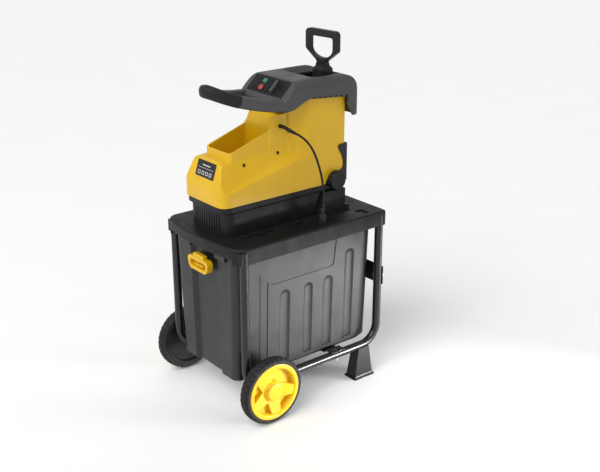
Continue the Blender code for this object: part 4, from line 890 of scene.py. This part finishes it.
def make_box():
    box = loft("box_tub", [
        box_outline(BOX_BOTTOM, 0.0022), box_outline(BOX_BOTTOM + 0.0008, 0.0008),
        box_outline(BOX_BOTTOM + 0.0024),
        box_outline(BOX_TOP - 0.0004), box_outline(BOX_TOP, 0.0004),
    ])
    hollow = loft("box_hollow", [box_outline(BOX_BOTTOM + BOX_WALL, BOX_WALL),
                                 box_outline(BOX_TOP + 0.02, BOX_WALL)])
    cut(box, prism("ramp", [(-0.2, 0.13, 0.09), (-0.2, 0.26, 0.09), (-0.2, 0.26, 0.131)], (0, 0, 0),
                   (0.4, 0, 0)))
    cut(hollow, prism("inner_ramp", [(-0.2, 0.12, 0.10), (-0.2, 0.27, 0.10), (-0.2, 0.27, 0.1375)],
                      (0, 0, 0), (0.4, 0, 0)))
    settle(hollow)
    for side in (1, -1):
        lean = math.atan2(0.0125, BOX_TOP - BOX_BOTTOM)
        wall = Matrix.Translation((side * 0.1385, 0, BOX_BOTTOM)) @ Matrix.Rotation(side * lean, 4, "Y")

        def on_wall(name, outline, depth_in, depth_out):
            """A prism square to the sloping side wall, from outline points (y, z)."""
            ring = [(0, y, z - BOX_BOTTOM) for y, z in outline]
            made = prism(name, ring, (side * depth_in, 0, 0), (side * depth_out, 0, 0))
            return moved(made, wall)

        band = [(-0.1500, 0.1180), (0.1990, 0.1180), (0.1990, 0.4905), (0.1040, 0.4905)]
        band += arc(0.0815, 0.3975, 0.0130, 0, -90, 5)
        band += [(-0.1380, 0.3845)] + arc(-0.1380, 0.3965, 0.0120, -90, -180, 4)[1:]
        join(box, on_wall("band", band, -0.0015, 0.0018))
        for y0, y1, top in GROOVES:
            radius = (y1 - y0) / 2
            rows = []
            for inset, depth in ((-0.0010, 0.0030), (0.0, 0.0018), (0.0016, 0.0008), (0.0050, -0.0006),
                                 (0.0100, -0.0018), (0.0150, -0.0021)):
                outline = [(y0 + inset, 0.1300), (y1 - inset, 0.1300)]
                outline += arc((y0 + y1) / 2, top - radius, radius - inset, 0, 180, 16)
                rows.append([(side * depth, y, z - BOX_BOTTOM) for y, z in outline])
            cut(box, moved(loft("groove", rows), wall))
        strip = rounded((-0.1990, 0.1400), (-0.1760, 0.4300), 0.0110, 6)
        cut(box, on_wall("strip", strip, -0.0014, 0.02))
    cut(box, hollow)
    for side in (1, -1):
        step = [(0.062, -0.2700, 0), (0.110, -0.2700, 0), (0.110, -0.2600, 0), (0.062, -0.2600, 0)]
        step = [(side * x, y, z) for x, y, z in step]
        join(box, prism("step", step, (0, 0, 0.4740), (0, 0, 0.4935)))
    soften(box, 0.0006, 2, 35)
    piece(box, "box", "collection_box")


LOCK_FRONT = -0.2845
LOCK_BACK = -0.2648
LOCK_X = -0.003


def make_lock():
    """The lock: a hollow bar handle with rounded ends and a tab above it."""
    def outline(x0, x1, z0, z1, radius, y, steps=8):
        return [(x, y, z) for x, z in rounded((LOCK_X + x0, z0), (LOCK_X + x1, z1), radius, steps)]

    ring = [(LOCK_X + (x - LOCK_X) * (1 - 0.16 * (0.4565 - z) / 0.04), y, z)
            for x, y, z in outline(-0.053, 0.053, 0.4165, 0.4565, 0.0165, 0)]
    lock = prism("lock_handle", ring, (0, LOCK_FRONT, 0), (0, LOCK_BACK, 0))
    slot = outline(-0.038, 0.038, 0.4255, 0.4465, 0.0070, 0)
    cut(lock, prism("slot", slot, (0, LOCK_FRONT - 0.01, 0), (0, LOCK_BACK - 0.0045, 0)))
    join(lock, prism("tab", outline(-0.026, 0.026, 0.450, 0.4665, 0.003, 0, 3), (0, LOCK_FRONT + 0.003, 0),
                     (0, LOCK_BACK - 0.003, 0)))
    join(lock, prism("ledge", outline(-0.0175, 0.0175, 0.4295, 0.4345, 0.002, 0, 3),
                     (0, LOCK_FRONT + 0.006, 0),
                     (0, LOCK_BACK - 0.002, 0)))
    melt(lock, 0.0008, 4, 0.6)
    piece(lock, "yellow", "box_lock", smooth=60)


# ---------------------------------------------------------------- lower and upper housings
def housing_outline(inset, front, rear, corner=0.026, steps=12, bow=0.004):
    """Plan of the motor housing: a box with rounded front corners and a softly bowed front."""
    middle = (HOUSING_RIGHT + HOUSING_LEFT) / 2
    half = (HOUSING_RIGHT - HOUSING_LEFT) / 2 - inset
    rear_corner = 0.010
    right = []
    for i in range(1, 6):
        x = (half - corner) * i / 6
        right.append((x, front - bow * (1 - (x / (half - corner)) ** 2)))
    right += arc(half - corner, front + corner, corner, -90, 0, steps)
    right += arc(half - rear_corner, rear - rear_corner, rear_corner, 0, 90, 5)
    outline = right + mirrored(right) + [(0.0, front - bow)]
    return [(x + middle, y + FRONT_SKEW * x if y < -0.1 else y) for x, y in outline]


def make_lower_housing():
    front, rear = HOUSING_FRONT + 0.0035, HOUSING_REAR
    base = DECK_TOP + 0.0003
    narrow = housing_outline(0.003, front + 0.011, rear, 0.024)
    wide = housing_outline(0.0, front, rear)
    inside = housing_outline(0.0008, front + 0.0008, rear - 0.0008)
    lower = loft("lower_shell", [
        at_height(narrow, base), at_height(narrow, SEAM_Z - 0.0205),
        at_height(housing_outline(0.0022, front + 0.009, rear, 0.0245), SEAM_Z - 0.0190),
        at_height(housing_outline(0.0006, front + 0.002, rear, 0.0255), SEAM_Z - 0.0172),
        at_height(wide, SEAM_Z - 0.0155), at_height(wide, SEAM_Z - 0.0008), at_height(inside, SEAM_Z),
    ])
    plinth = [(0.080, base), (0.198, base), (0.196, 0.540), (0.181, 0.543), (0.181, 0.5945), (0.102, 0.5945)]
    join(lower, prism("plinth", [(0, y, z) for y, z in plinth], (0.080, 0, 0), (0.0960, 0, 0)))
    inner = housing_outline(0.006, front + 0.0145, rear - WALL, 0.021)
    cut(lower, prism("lower_hollow", at_height(inner, 0), (0, 0, base + WALL), (0, 0, SEAM_Z + 0.02)))
    cut(lower, block("discharge_hole", (-0.0645, 0.0575, 0.52), (0.0485, 0.1645, 0.545)))
    vents = 11
    for i in range(vents):
        x = -0.064 + 0.112 * i / (vents - 1)
        shape = [(px, 0, pz) for px, pz in rounded((x - 0.0020, 0.5390), (x + 0.0020, 0.5885), 0.0019, 4)]
        cut(lower, prism("vent", shape, (0, front - 0.03, 0), (0, front + 0.030, 0)))
    soften(lower, 0.0006, 2, 35)
    piece(lower, "black", "lower_housing")


SIDE_PROFILE = (
    (-0.2545, SEAM_Z + 0.0003), (-0.2568, 0.6280), (-0.2580, 0.640), (-0.2580, 0.6530), (-0.2564, 0.6680),
    (-0.2515, 0.6850), (-0.2355, 0.7330), (-0.2330, 0.7368), (-0.2270, 0.7400), (-0.2170, 0.7418),
    (-0.2050, 0.7425),
)
COLLAR_RIGHT = 0.0575
COLLAR_LEFT = -0.0620
COLLAR_FRONT = -0.2085
TOWER_TOP = 0.8800
MELT_ROOM = 0.030                 # extra solid below the seam, trimmed off once the edges are rounded


def motor_section(y):
    """Cross-section of the motor cover: upright sides, sloping shoulders, a narrow top."""
    crease = 0.6685 + 0.235 * (y + 0.173)
    base = 0.737 + 0.110 * (y + 0.179)
    left = HOUSING_LEFT + HOUSING_RIGHT - COLLAR_RIGHT
    points = [
        (HOUSING_LEFT, 0.55), (HOUSING_RIGHT, 0.55), (HOUSING_RIGHT, crease), (COLLAR_RIGHT, base),
        (0.030, base + 0.006), (left + 0.026, base + 0.006), (left, base), (HOUSING_LEFT, crease),
    ]
    return [(x, y, z) for x, z in points]


def tower_outline(inset=0.0):
    rear = HOUSING_REAR - inset
    corner = 0.010
    right = [(0.0665 - inset, -0.010 + inset), (0.0700 - inset, 0.012 + inset * 0.5)]
    right.append((HOUSING_RIGHT - inset, 0.048 + inset * 0.3))
    right += arc(HOUSING_RIGHT - inset - corner, rear - corner, corner, 0, 90, 6)
    shift = HOUSING_RIGHT + HOUSING_LEFT
    return right + [(shift - x, y) for x, y in reversed(right)]


def profile_prism(name, profile, x0, x1):
    return prism(name, [(0, y, z) for y, z in profile], (x0, 0, 0), (x1, 0, 0))


def motor_cover():
    profile = [(-0.2545, SEAM_Z - MELT_ROOM)] + list(SIDE_PROFILE) + [(0.05, 0.7640),
                                                                      (0.05, SEAM_Z - MELT_ROOM)]
    body = profile_prism("upper_shell", profile, -0.12, 0.12)
    plan = housing_outline(0.0, HOUSING_FRONT - 0.0015, 0.06, 0.024)
    keep(body, prism("plan", at_height(plan, 0), (0, 0, 0.5), (0, 0, 0.9)))
    keep(body, loft("section", [motor_section(-0.30), motor_section(0.10)]))
    return melt(body, 0.0016, 42, 0.5)


SCREW_PLACES = ((0.0635, -0.1626, 0.7213), (0.0640, -0.0450, 0.7362))
INLET = (HOUSING_LEFT, 0.0625, 0.1015, 0.7025, 0.7415)


def screw_axis(place, side):
    """From the bottom of a screw recess in the shoulder to a point outside it."""
    across = Vector((side * 0.905, -0.08, 0.41)).normalized()
    x, y, z = place
    middle = (HOUSING_RIGHT + HOUSING_LEFT) / 2
    surface = Vector((x if side > 0 else 2 * middle - x, y, z))
    return surface - across * 0.0065, surface + across * 0.02


def make_upper_housing():
    base = SEAM_Z + 0.0003
    upper = motor_cover()
    join(upper, prism("tower", at_height(tower_outline(), 0), (0, 0, base - MELT_ROOM), (0, 0, TOWER_TOP)))
    neck = [(-0.0735, 0.70), (0.02, 0.70), (0.02, 0.8455), (-0.046, 0.8455), (-0.0510, 0.8370),
            (-0.0560, 0.8260),
            (-0.0620, 0.8130), (-0.0735, 0.801)]
    join(upper, profile_prism("neck", neck, -0.062, 0.062))
    collar = [(COLLAR_FRONT, 0.700), (-0.05, 0.700), (-0.05, 0.8105), (-0.0620, 0.8058), (-0.0735, 0.8015),
              (COLLAR_FRONT + 0.006, 0.7585)]
    collar = profile_prism("collar", collar, COLLAR_LEFT, COLLAR_RIGHT)
    plan = rounded((COLLAR_LEFT, COLLAR_FRONT), (COLLAR_RIGHT, 0.10), 0.016, 10)
    keep(collar, prism("collar_plan", at_height(plan, 0), (0, 0, 0.6), (0, 0, 0.9)))
    join(upper, collar)
    boss = turned("boss", [(0.0, 0.050), (0.0, 0.0788), (0.0285, 0.0790), (0.0302, 0.0784), (0.0310, 0.0768),
                           (0.0314, 0.050)], (0, -0.036, 0.811), (1, 0, 0), 72)
    join(upper, boss)
    pocket = rounded((COLLAR_LEFT + 0.005, COLLAR_FRONT + 0.0065), (COLLAR_RIGHT - 0.005, -0.064), 0.013, 8)
    cut(upper, prism("pocket", at_height(pocket, 0), (0, 0, 0.694), (0, 0, 0.90)))
    melt(upper, 0.0011, 5, 0.35)
    carve(upper, block("below_seam", (-0.2, -0.4, 0.5), (0.2, 0.3, base)))
    carve(upper, prism("tower_hollow", at_height(tower_outline(WALL), 0), (0, 0, base - 0.01), (0, 0, 0.95)))
    carve(upper, block("motor_hollow", (-0.0615, -0.232, base - 0.01), (0.0505, 0.03, 0.690)))
    inner = housing_outline(WALL, HOUSING_FRONT + 0.0025 + WALL, 0.05, 0.021)
    carve(upper, prism("motor_room", at_height(inner, 0), (0, 0, base - 0.01), (0, 0, 0.660)))
    carve(upper, rod("gland_hole", (0.040, -0.036, 0.811), (0.09, -0.036, 0.811), 0.0065, 32))
    carve(upper, rod("gland_dish", (0.0715, -0.036, 0.811), (0.0805, -0.036, 0.811), 0.0085, 64, 0.0235))
    carve(upper, rod("screw_hole", (0.06, KNOB_Y, KNOB_Z), (0.10, KNOB_Y, KNOB_Z), 0.0090, 32))
    x, y0, y1, z0, z1 = INLET
    carve(upper, block("inlet_hole", (x - 0.02, y0 - 0.0003, z0 - 0.0003),
                       (x + 0.02, y1 + 0.0003, z1 + 0.0003)))
    for side in (1, -1):
        for place in SCREW_PLACES:
            carve(upper, rod("recess", *screw_axis(place, side), 0.0054, 32, 0.0064))
    piece(upper, "yellow", "upper_housing", smooth=32)


def make_housing_screws():
    labels = {(1, 0): "right_front", (1, 1): "right_rear", (-1, 0): "left_front", (-1, 1): "left_rear"}
    for (side, row), label in labels.items():
        start, end = screw_axis(SCREW_PLACES[row], side)
        along = (end - start).normalized()
        screw = turned("screw_" + label, [
            (0.0, 0.0003), (0.0, 0.0035), (0.0022, 0.0034), (0.0037, 0.0029), (0.0045, 0.0020),
            (0.0046, 0.0003),
        ], start, along, 40)
        sideways = along.orthogonal().normalized()
        for turn in (0, 90):
            arm = Matrix.Rotation(math.radians(turn), 3, along) @ sideways
            other = along.cross(arm)
            corners = [start + arm * a + other * b for a, b in (
                (0.0026, 0.0005), (-0.0026, 0.0005), (-0.0026, -0.0005), (0.0026, -0.0005),
            )]
            cut(screw, prism("cross", corners, along * 0.0020, along * 0.0060))
        piece(screw, "blackened", "housing_screw_" + label)


def make_label_plate():
    """A blank black plate with a pale printed frame and plain pale marks."""
    frame_of_plate = Matrix.Translation((-0.004, -0.2435, 0.7090)) @ Matrix.Rotation(
        math.atan2(-0.0160, 0.0480), 4, "X")

    def flat(name, low, high, radius, y0, y1):
        outline = [(x, 0, z) for x, z in rounded(low, high, radius, 5)]
        return moved(prism(name, outline, (0, y0, 0), (0, y1, 0)), frame_of_plate)

    plate = flat("label_face", (-0.0430, -0.0228), (0.0430, 0.0228), 0.003, -0.0003, -0.0014)
    soften(plate, 0.0003, 2, 40)
    piece(plate, "label", "label_plate")
    marks = flat("label_marks", (-0.0180, 0.0090), (0.0190, 0.0122), 0.0008, -0.0012, -0.00148)
    join(marks, flat("line", (-0.0350, 0.0018), (0.0360, 0.0030), 0.0004, -0.0012, -0.00148))
    for i in range(4):
        x = -0.0330 + 0.0178 * i
        join(marks, flat("square", (x, -0.0165), (x + 0.0120, -0.0060), 0.0010, -0.0012, -0.00148))
        settle(marks)
        cut(marks, flat("square_inside", (x + 0.0022, -0.0145), (x + 0.0098, -0.0080), 0.0010, -0.0002,
                        -0.0020))
    piece(marks, "print", body="machine")


def make_rear_cover():
    """Black cover on the tower's back: side flanges that curve in above the knob, and the knob's boss."""
    rear = HOUSING_REAR + 0.0003
    x0 = HOUSING_RIGHT + 0.0003
    x1 = HOUSING_LEFT - 0.0003
    cover = block("tower_cover", (x1 - 0.002, rear, 0.6172), (x0 + 0.002, rear + 0.0035, 0.730))
    edge = [
        (rear + 0.0030, 0.6172), (rear + 0.0030, 0.7300), (0.1640, 0.7290), (0.1590, 0.7262),
        (0.1580, 0.7215),
        (0.1600, 0.7150), (0.1660, 0.7050), (0.1720, 0.6940), (0.1765, 0.6820), (0.1785, 0.6700),
        (0.1775, 0.6590),
        (0.1710, 0.6520), (0.1600, 0.6500), (0.1400, 0.6480), (0.1260, 0.6410), (0.1160, 0.6290),
        (0.1100, 0.6172),
    ]
    for x, side in ((x0, 1), (x1, -1)):
        ring = [(x, y, z) for y, z in edge]
        join(cover, prism("flange", ring, (0, 0, 0), (side * 0.002, 0, 0)))
    join(cover, rod("knob_boss", (x0, KNOB_Y, KNOB_Z), (x0 + 0.006, KNOB_Y, KNOB_Z), 0.027, 64))
    cut(cover, rod("boss_hole", (0.07, KNOB_Y, KNOB_Z), (0.11, KNOB_Y, KNOB_Z), 0.0085, 32))
    for i in range(5):
        z = 0.650 + 0.012 * i
        slot = [(px, 0, pz) for px, pz in rounded((-0.055, z - 0.0018), (0.040, z + 0.0018), 0.0017, 4)]
        cut(cover, prism("slot", slot, (0, rear + 0.0022, 0), (0, rear + 0.01, 0)))
    soften(cover, 0.0007, 3, 35)
    piece(cover, "satin", "rear_cover")


def make_knob():
    start = HOUSING_RIGHT + 0.0070
    knob = turned("knob_grip", [
        (0.0, start), (0.0268, start), (0.0284, start + 0.0010), (0.0290, start + 0.0025),
        (0.0285, start + 0.0112),
        (0.0272, start + 0.0132), (0.0250, start + 0.0140), (0.0205, start + 0.0140),
        (0.0192, start + 0.0126),
        (0.0, start + 0.0122),
    ], (0, KNOB_Y, KNOB_Z), (1, 0, 0), 96)
    lobes = 12
    for i in range(lobes):
        angle = 2 * math.pi * i / lobes
        y = KNOB_Y + 0.0318 * math.cos(angle)
        z = KNOB_Z + 0.0318 * math.sin(angle)
        cut(knob, rod("lobe", (start - 0.01, y, z), (start + 0.03, y, z), 0.0045, 24))
    bar = [(0, KNOB_Y + a, KNOB_Z + b) for a, b in rounded((-0.0215, -0.0038), (0.0215, 0.0038), 0.0020, 4)]
    join(knob, prism("bar", bar, (start + 0.010, 0, 0), (start + 0.0139, 0, 0)))
    cut(knob, rod("knob_bore", (0.08, KNOB_Y, KNOB_Z), (start + 0.009, KNOB_Y, KNOB_Z), 0.0081, 32))
    soften(knob, 0.0007, 3, 35)
    piece(knob, "satin", "adjusting_knob")


# ---------------------------------------------------------------- hood, handle and controls
HOOD_PROFILE = (
    (-0.0440, 0.8560), (-0.0160, 0.8600), (0.0190, 0.8760), (0.0480, 0.8860), (0.1670, 0.8710),
    (0.2000, 0.8120), (0.2190, 0.8120), (0.2220, 0.8710), (0.2190, 0.8930), (0.2130, 0.9080),
    (0.2060, 0.9190), (0.1980, 0.9270), (0.1850, 0.9320), (0.1700, 0.9345), (0.1370, HOOD_TOP),
    (-0.0030, HOOD_TOP), (-0.0500, 0.8890), (-0.0560, 0.8780), (-0.0530, 0.8620),
)
PANEL_TILT = math.atan2(HOOD_TOP - 0.8890, 0.0470)
PANEL = Matrix.Translation((0, -0.0265, (HOOD_TOP + 0.8890) / 2)) @ Matrix.Rotation(PANEL_TILT, 4, "X")


def hood_section(inset, steps=10):
    """Cross-section of the hood: open below, broadly rounded along both top edges."""
    half = HOOD_HALF_WIDTH - inset
    top = HOOD_TOP - inset
    radius = 0.026 - inset
    outline = [(half, 0.75)] + arc(half - radius, top - radius, radius, 0, 90, steps)
    return [(x, 0, z) for x, z in outline + mirrored(outline)]


ARM_PATH = ((0.0880, -0.020, 0.8720), (0.0865, -0.052, 0.8755), (0.0770, -0.095, 0.8805),
            (0.0620, -0.133, 0.8880), (0.0510, -0.163, 0.8960))
GRIP_PATH = ((0.0420, -0.190, 0.9055), (0.0330, -0.212, 0.9145), (0.0200, -0.2290, 0.9225),
             (0.0000, -0.2360, 0.9260))
PATH_STEPS = 8


def handle_route():
    """Centre line of the whole handle, from the right arm round the tip to the left arm."""
    right = ARM_PATH + GRIP_PATH
    return route_through(list(right) + [(-x, y, z) for x, y, z in reversed(right[:-1])], PATH_STEPS)


START_AT = (-0.0260, 0.0130)
STOP_AT = (-0.0260, -0.0100)
SELECTOR_AT = (0.0260, 0.0020)
RESET_AT = (-0.0620, -0.0140)
BUTTON_PORTS = ((*START_AT, 0.0080), (*STOP_AT, 0.0095), (*SELECTOR_AT, 0.0060), (*RESET_AT, 0.0040))


def hood_half():
    """Number of route points in one arm, up to where the grip starts."""
    return PATH_STEPS * (len(ARM_PATH) - 1) + 1


def make_hood():
    hood = profile_prism("hood_shell", HOOD_PROFILE, -0.12, 0.12)
    plan = rounded((-HOOD_HALF_WIDTH, -0.060), (HOOD_HALF_WIDTH, 0.2220), 0.014, 8)
    keep(hood, prism("hood_plan", at_height(plan, 0), (0, 0, 0.7), (0, 0, 1.1)))
    keep(hood, prism("hood_section", hood_section(0.0), (0, -0.2, 0), (0, 0.3, 0)))
    melt(hood, 0.0016, 34, 0.5)
    route = handle_route()
    rings = bar_rings(route, 0.030, 0.034)
    count = hood_half()
    for arm in (rings[:count], rings[-count:]):
        join(hood, loft("arm", arm))
    cut(hood, loft("dish", [
        at_height(rounded((-0.062, 0.088), (0.062, 0.181), 0.010), 0.9200),
        at_height(rounded((-0.064, 0.086), (0.064, 0.183), 0.012), 0.9215),
        at_height(rounded((-0.070, 0.078), (0.070, 0.190), 0.018), 0.9300),
        at_height(rounded((-0.076, 0.070), (0.076, 0.196), 0.024), HOOD_TOP - 0.0004),
        at_height(rounded((-0.080, 0.066), (0.080, 0.199), 0.027), HOOD_TOP + 0.003),
    ]))
    melt(hood, 0.0011, 6, 0.35)
    inner_profile = [
        (-0.0470, 0.790), (0.2155, 0.790), (0.2180, 0.8710), (0.2095, 0.9050),
        (0.1920, 0.9190), (0.1680, 0.9160), (0.0560, 0.9160), (0.0520, 0.9300), (0.0029, 0.9300),
        (-0.0440, 0.8821),
    ]
    hollow = profile_prism("hood_hollow", inner_profile, -0.1, 0.1)
    inner_plan = rounded((-0.1, -0.056), (0.1, 0.2185), 0.010, 5)
    keep(hollow, prism("inner_plan", at_height(inner_plan, 0), (0, 0, 0.7), (0, 0, 1.1)))
    keep(hollow, prism("inner_section", hood_section(0.006, 5), (0, -0.2, 0), (0, 0.3, 0)))
    carve(hood, hollow)
    mouth = rounded((-CHUTE_HALF_WIDTH + 0.002, CHUTE_FRONT + 0.002),
                    (CHUTE_HALF_WIDTH - 0.002, CHUTE_REAR - 0.002),
                    0.008)
    carve(hood, prism("mouth", at_height(mouth, 0), (0, 0, 0.90), (0, 0, 0.95)))
    recess = prism("recess", at_height(rounded((-0.0815, -0.0275), (0.0815, 0.0285), 0.006), 0),
                   (0, 0, -0.0030), (0, 0, 0.01))
    carve(hood, moved(recess, PANEL))
    for x, y, radius in BUTTON_PORTS:
        carve(hood, moved(rod("port", (x, y, -0.02), (x, y, 0.01), radius + 0.0008, 32), PANEL))
    for i in range(6):
        y = 0.068 + 0.020 * i
        top = 0.8865 - 0.0018 * i
        for side in (1, -1):
            shape = [(0, y, 0.855), (0, y + 0.012, 0.855), (0, y + 0.012, top - 0.003), (0, y + 0.009, top),
                     (0, y + 0.003, top), (0, y, top - 0.003)]
            carve(hood, prism("vent", shape, (side * 0.095, 0, 0), (side * 0.110, 0, 0)))
    piece(hood, "hood", "hood", smooth=32)
    # Black strips behind the side vents, so the notches read dark instead of showing the lit tower: painted
    # shade for the shaded inside of the hood.
    for label, side in (("right", 1), ("left", -1)):
        shade_strip_outline = [(0, 0.060, 0.8795), (0, 0.168, 0.8705), (0, 0.168, 0.8800), (0, 0.060, 0.8920)]
        strip = prism("vent_shade_strip_" + label, shade_strip_outline, (side * 0.0890, 0, 0), (side * 0.0930, 0, 0))
        piece(soften(strip, 0.001, 2), "satin", body="machine")


def make_grip():
    """The black end of the handle, with finger ridges moulded round it."""
    route = handle_route()
    count = hood_half()
    middle = route[count - 1:1 - count]
    route = route_through(middle, 4)
    last = len(route) - 1
    pitch = 13

    def swell(i):
        if i < 2 or i > last - 2:
            return 0.965
        if i < 7 or i > last - 7:
            return 1.0
        return 0.985 if (i % pitch) < 4 else 1.0

    rings = bar_rings(route, 0.0315, 0.0355, 28, 0.75, swell)
    start = (Vector(route[1]) - Vector(route[0])).normalized() * 0.0003
    rings[0] = [point + start for point in rings[0]]
    rings[-1] = [point + Vector((-start.x, start.y, start.z)) for point in rings[-1]]
    piece(loft("grip_sleeve", rings), "dark", "grip", smooth=38)


def on_panel(made):
    return moved(made, PANEL)


def rounded_cap(name, x, y, half_x, half_y, radius, foot, top, edge):
    """A key cap with a rolled top edge, standing on the panel."""
    def ring(inset, z):
        return at_height(rounded((x - half_x + inset, y - half_y + inset),
                                 (x + half_x - inset, y + half_y - inset),
                                 radius - inset * 0.6, 6), z)

    return loft(name, [ring(0.0, foot), ring(0.0, top - edge), ring(edge * 0.3, top - edge * 0.3),
                       ring(edge, top)])


def make_controls():
    panel = loft("panel_face", [
        at_height(rounded((-0.081, -0.027), (0.081, 0.028), 0.0055, 6), -0.0027),
        at_height(rounded((-0.081, -0.027), (0.081, 0.028), 0.0055, 6), -0.0010),
        at_height(rounded((-0.0803, -0.0263), (0.0803, 0.0273), 0.0048, 6), -0.0005),
    ])
    for x, y, radius in BUTTON_PORTS:
        cut(panel, rod("port", (x, y, -0.02), (x, y, 0.01), radius + 0.0006, 32))
    x, y = START_AT
    cut(panel, block("start_port", (x - 0.0091, y - 0.0071, -0.02), (x + 0.0091, y + 0.0071, 0.01)))
    for x0, x1, y0, y1 in ((-0.0440, 0.0030, -0.0215, 0.0235), (0.0080, 0.0430, -0.0215, 0.0235),
                           (0.0480, 0.0640, -0.0140, 0.0150)):
        edge = prism("frame", at_height(rounded((x0, y0), (x1, y1), 0.003, 5), 0), (0, 0, -0.0008),
                     (0, 0, 0.0004))
        inside = prism("inside", at_height(rounded((x0 + 0.0014, y0 + 0.0014), (x1 - 0.0014, y1 - 0.0014),
                                                   0.002, 5), 0),
                       (0, 0, -0.002), (0, 0, 0.003))
        join(panel, settle(cut(edge, inside)))
    cut(panel, block("slot", (0.0520, -0.0080, -0.0016), (0.0600, 0.0100, 0.01)))
    on_panel(settle(panel))
    soften(panel, 0.0003, 2, 35)
    piece(panel, "black", "control_panel")

    x, y = START_AT
    start = rounded_cap("start_key", x, y, 0.0085, 0.0065, 0.0018, -0.0004, 0.0034, 0.0009)
    join(start, rod("stem", (x, y, -0.0090), (x, y, 0.0010), 0.0078, 40))
    piece(on_panel(soften(start, 0.0003, 2, 40)), "green", "start_button")
    x, y = STOP_AT
    stop = turned("stop_key", [
        (0.0, -0.0090), (0.0070, -0.0090), (0.0070, -0.0004), (0.0092, 0.0002), (0.0096, 0.0016),
        (0.0094, 0.0032),
        (0.0082, 0.0044), (0.0055, 0.0049), (0.0, 0.0050),
    ], (x, y, 0), (0, 0, 1), 64)
    piece(on_panel(stop), "red", "stop_button", smooth=45)
    x, y = RESET_AT
    reset = turned("reset_key", [
        (0.0, -0.0090), (0.0040, -0.0090), (0.0040, 0.0014), (0.0034, 0.0021), (0.0020, 0.0019),
        (0.0, 0.0017),
    ], (x, y, 0), (0, 0, 1), 48)
    piece(on_panel(reset), "satin", "reset_button", smooth=40)
    x, y = SELECTOR_AT
    lever = rounded_cap("selector_lever", x, y, 0.0055, 0.0200, 0.0040, 0.0002, 0.0078, 0.0016)
    join(lever, rod("stem", (x, y, -0.0090), (x, y, 0.0020), 0.0060, 40))
    cut(lever, rounded_cap("line", x, y + 0.0120, 0.0008, 0.0050, 0.0007, 0.0070, 0.0090, 0.0001))
    piece(on_panel(soften(lever, 0.0004, 2, 35)), "hood", "direction_switch")


# ---------------------------------------------------------------- pusher
def make_pusher():
    """The pusher: a D-shaped hand grip whose sides run in to a neck above a square block and a stem."""
    half, shoulder, top = 0.0625, 0.9990, 1.0555
    right = [(0.0190, 0.9520), (0.0172, 0.9580), (0.0174, 0.9640), (0.0205, 0.9685), (0.0250, 0.9712),
             (half - 0.003, shoulder - 0.0035), (half, shoulder + 0.002)]
    right += arc(half - 0.014, top - 0.014, 0.014, 0, 90, 8)
    outer = [(x, 0, z) for x, z in right + mirrored(right)]
    grip = prism("pusher_handle", outer, (0, -0.0090, 0), (0, 0.0090, 0))
    belly = []
    for i in range(13):
        angle = math.radians(84 - 7 * i)
        belly.append((0.0460 * math.cos(angle), 1.0030 - 0.0270 * math.sin(angle)))
    right = belly + arc(0.0400, 1.0295, 0.0060, 0, 90, 5)
    window = [(0, 0, 0.9760)] + [(x, 0, z) for x, z in right + mirrored(right)]
    cut(grip, prism("window", window, (0, -0.02, 0), (0, 0.02, 0)))
    melt(grip, 0.0011, 16, 0.6)
    slim = rounded((-0.0230, -0.0190), (0.0230, 0.0190), 0.003, 5)
    thick = rounded((-0.0215, -0.0215), (0.0215, 0.0215), 0.003, 5)
    step = rounded((-0.0203, -0.0203), (0.0203, 0.0203), 0.003, 5)
    neck = rounded((-0.0165, -0.0135), (0.0165, 0.0135), 0.003, 5)
    stem = loft("stem", [
        at_height(slim, 0.7300), at_height(slim, 0.8500), at_height(thick, 0.8600), at_height(thick, 0.9445),
        at_height(step, 0.9460), at_height(neck, 0.9540), at_height(neck, 0.9600),
    ])
    join(grip, stem)
    for side in (1, -1):
        rib = [(side * 0.0045, 0, 0.950), (side * 0.0150, 0, 0.950), (side * 0.0130, 0, 0.966)]
        cut(grip, prism("dimple", rib, (0, -0.012, 0), (0, -0.0078, 0)))
    settle(grip)
    moved(grip, Matrix.Translation((PLUNGER_X, PLUNGER_Y, 0)) @ Matrix.Rotation(PLUNGER_YAW, 4, "Z"))
    piece(grip, "satin", "plunger", smooth=35)


# ---------------------------------------------------------------- assembly
make_camera()
make_interlock()
make_studio()
make_deck()
for side_label, side_sign in (("right", 1), ("left", -1)):
    make_side_frame(side_label, side_sign)
    make_foot(side_label, side_sign)
    make_wheel(side_label, side_sign)
make_box()
make_lock()
make_lower_housing()
make_upper_housing()
make_housing_screws()
make_label_plate()
make_rear_cover()
make_knob()
make_hood()
make_grip()
make_controls()
make_pusher()
carry("tube", 0.0006, "rear_brace", "bottom_brace")
carry("steel", 0.0005, "rear_bolt_right", "rear_bolt_left", "strap_bolt_right", "strap_bolt_left", "axle",
      "adjusting_screw", "screw_bushing", "bearing_front", "bearing_rear")
carry("ground", 0.0003, "motor_rotor", "intermediate_gear", "drum_gear", "cutting_drum")
carry("alloy", 0.0008, "gearbox_housing", "pressure_plate", "capacitor")
carry("copper", 0.0020, "motor_stator")
carry("black", 0.0006, "discharge_chute", "feed_chute", "mains_inlet", "cooling_fan")
carry("dark", 0.0006, "switch_box")
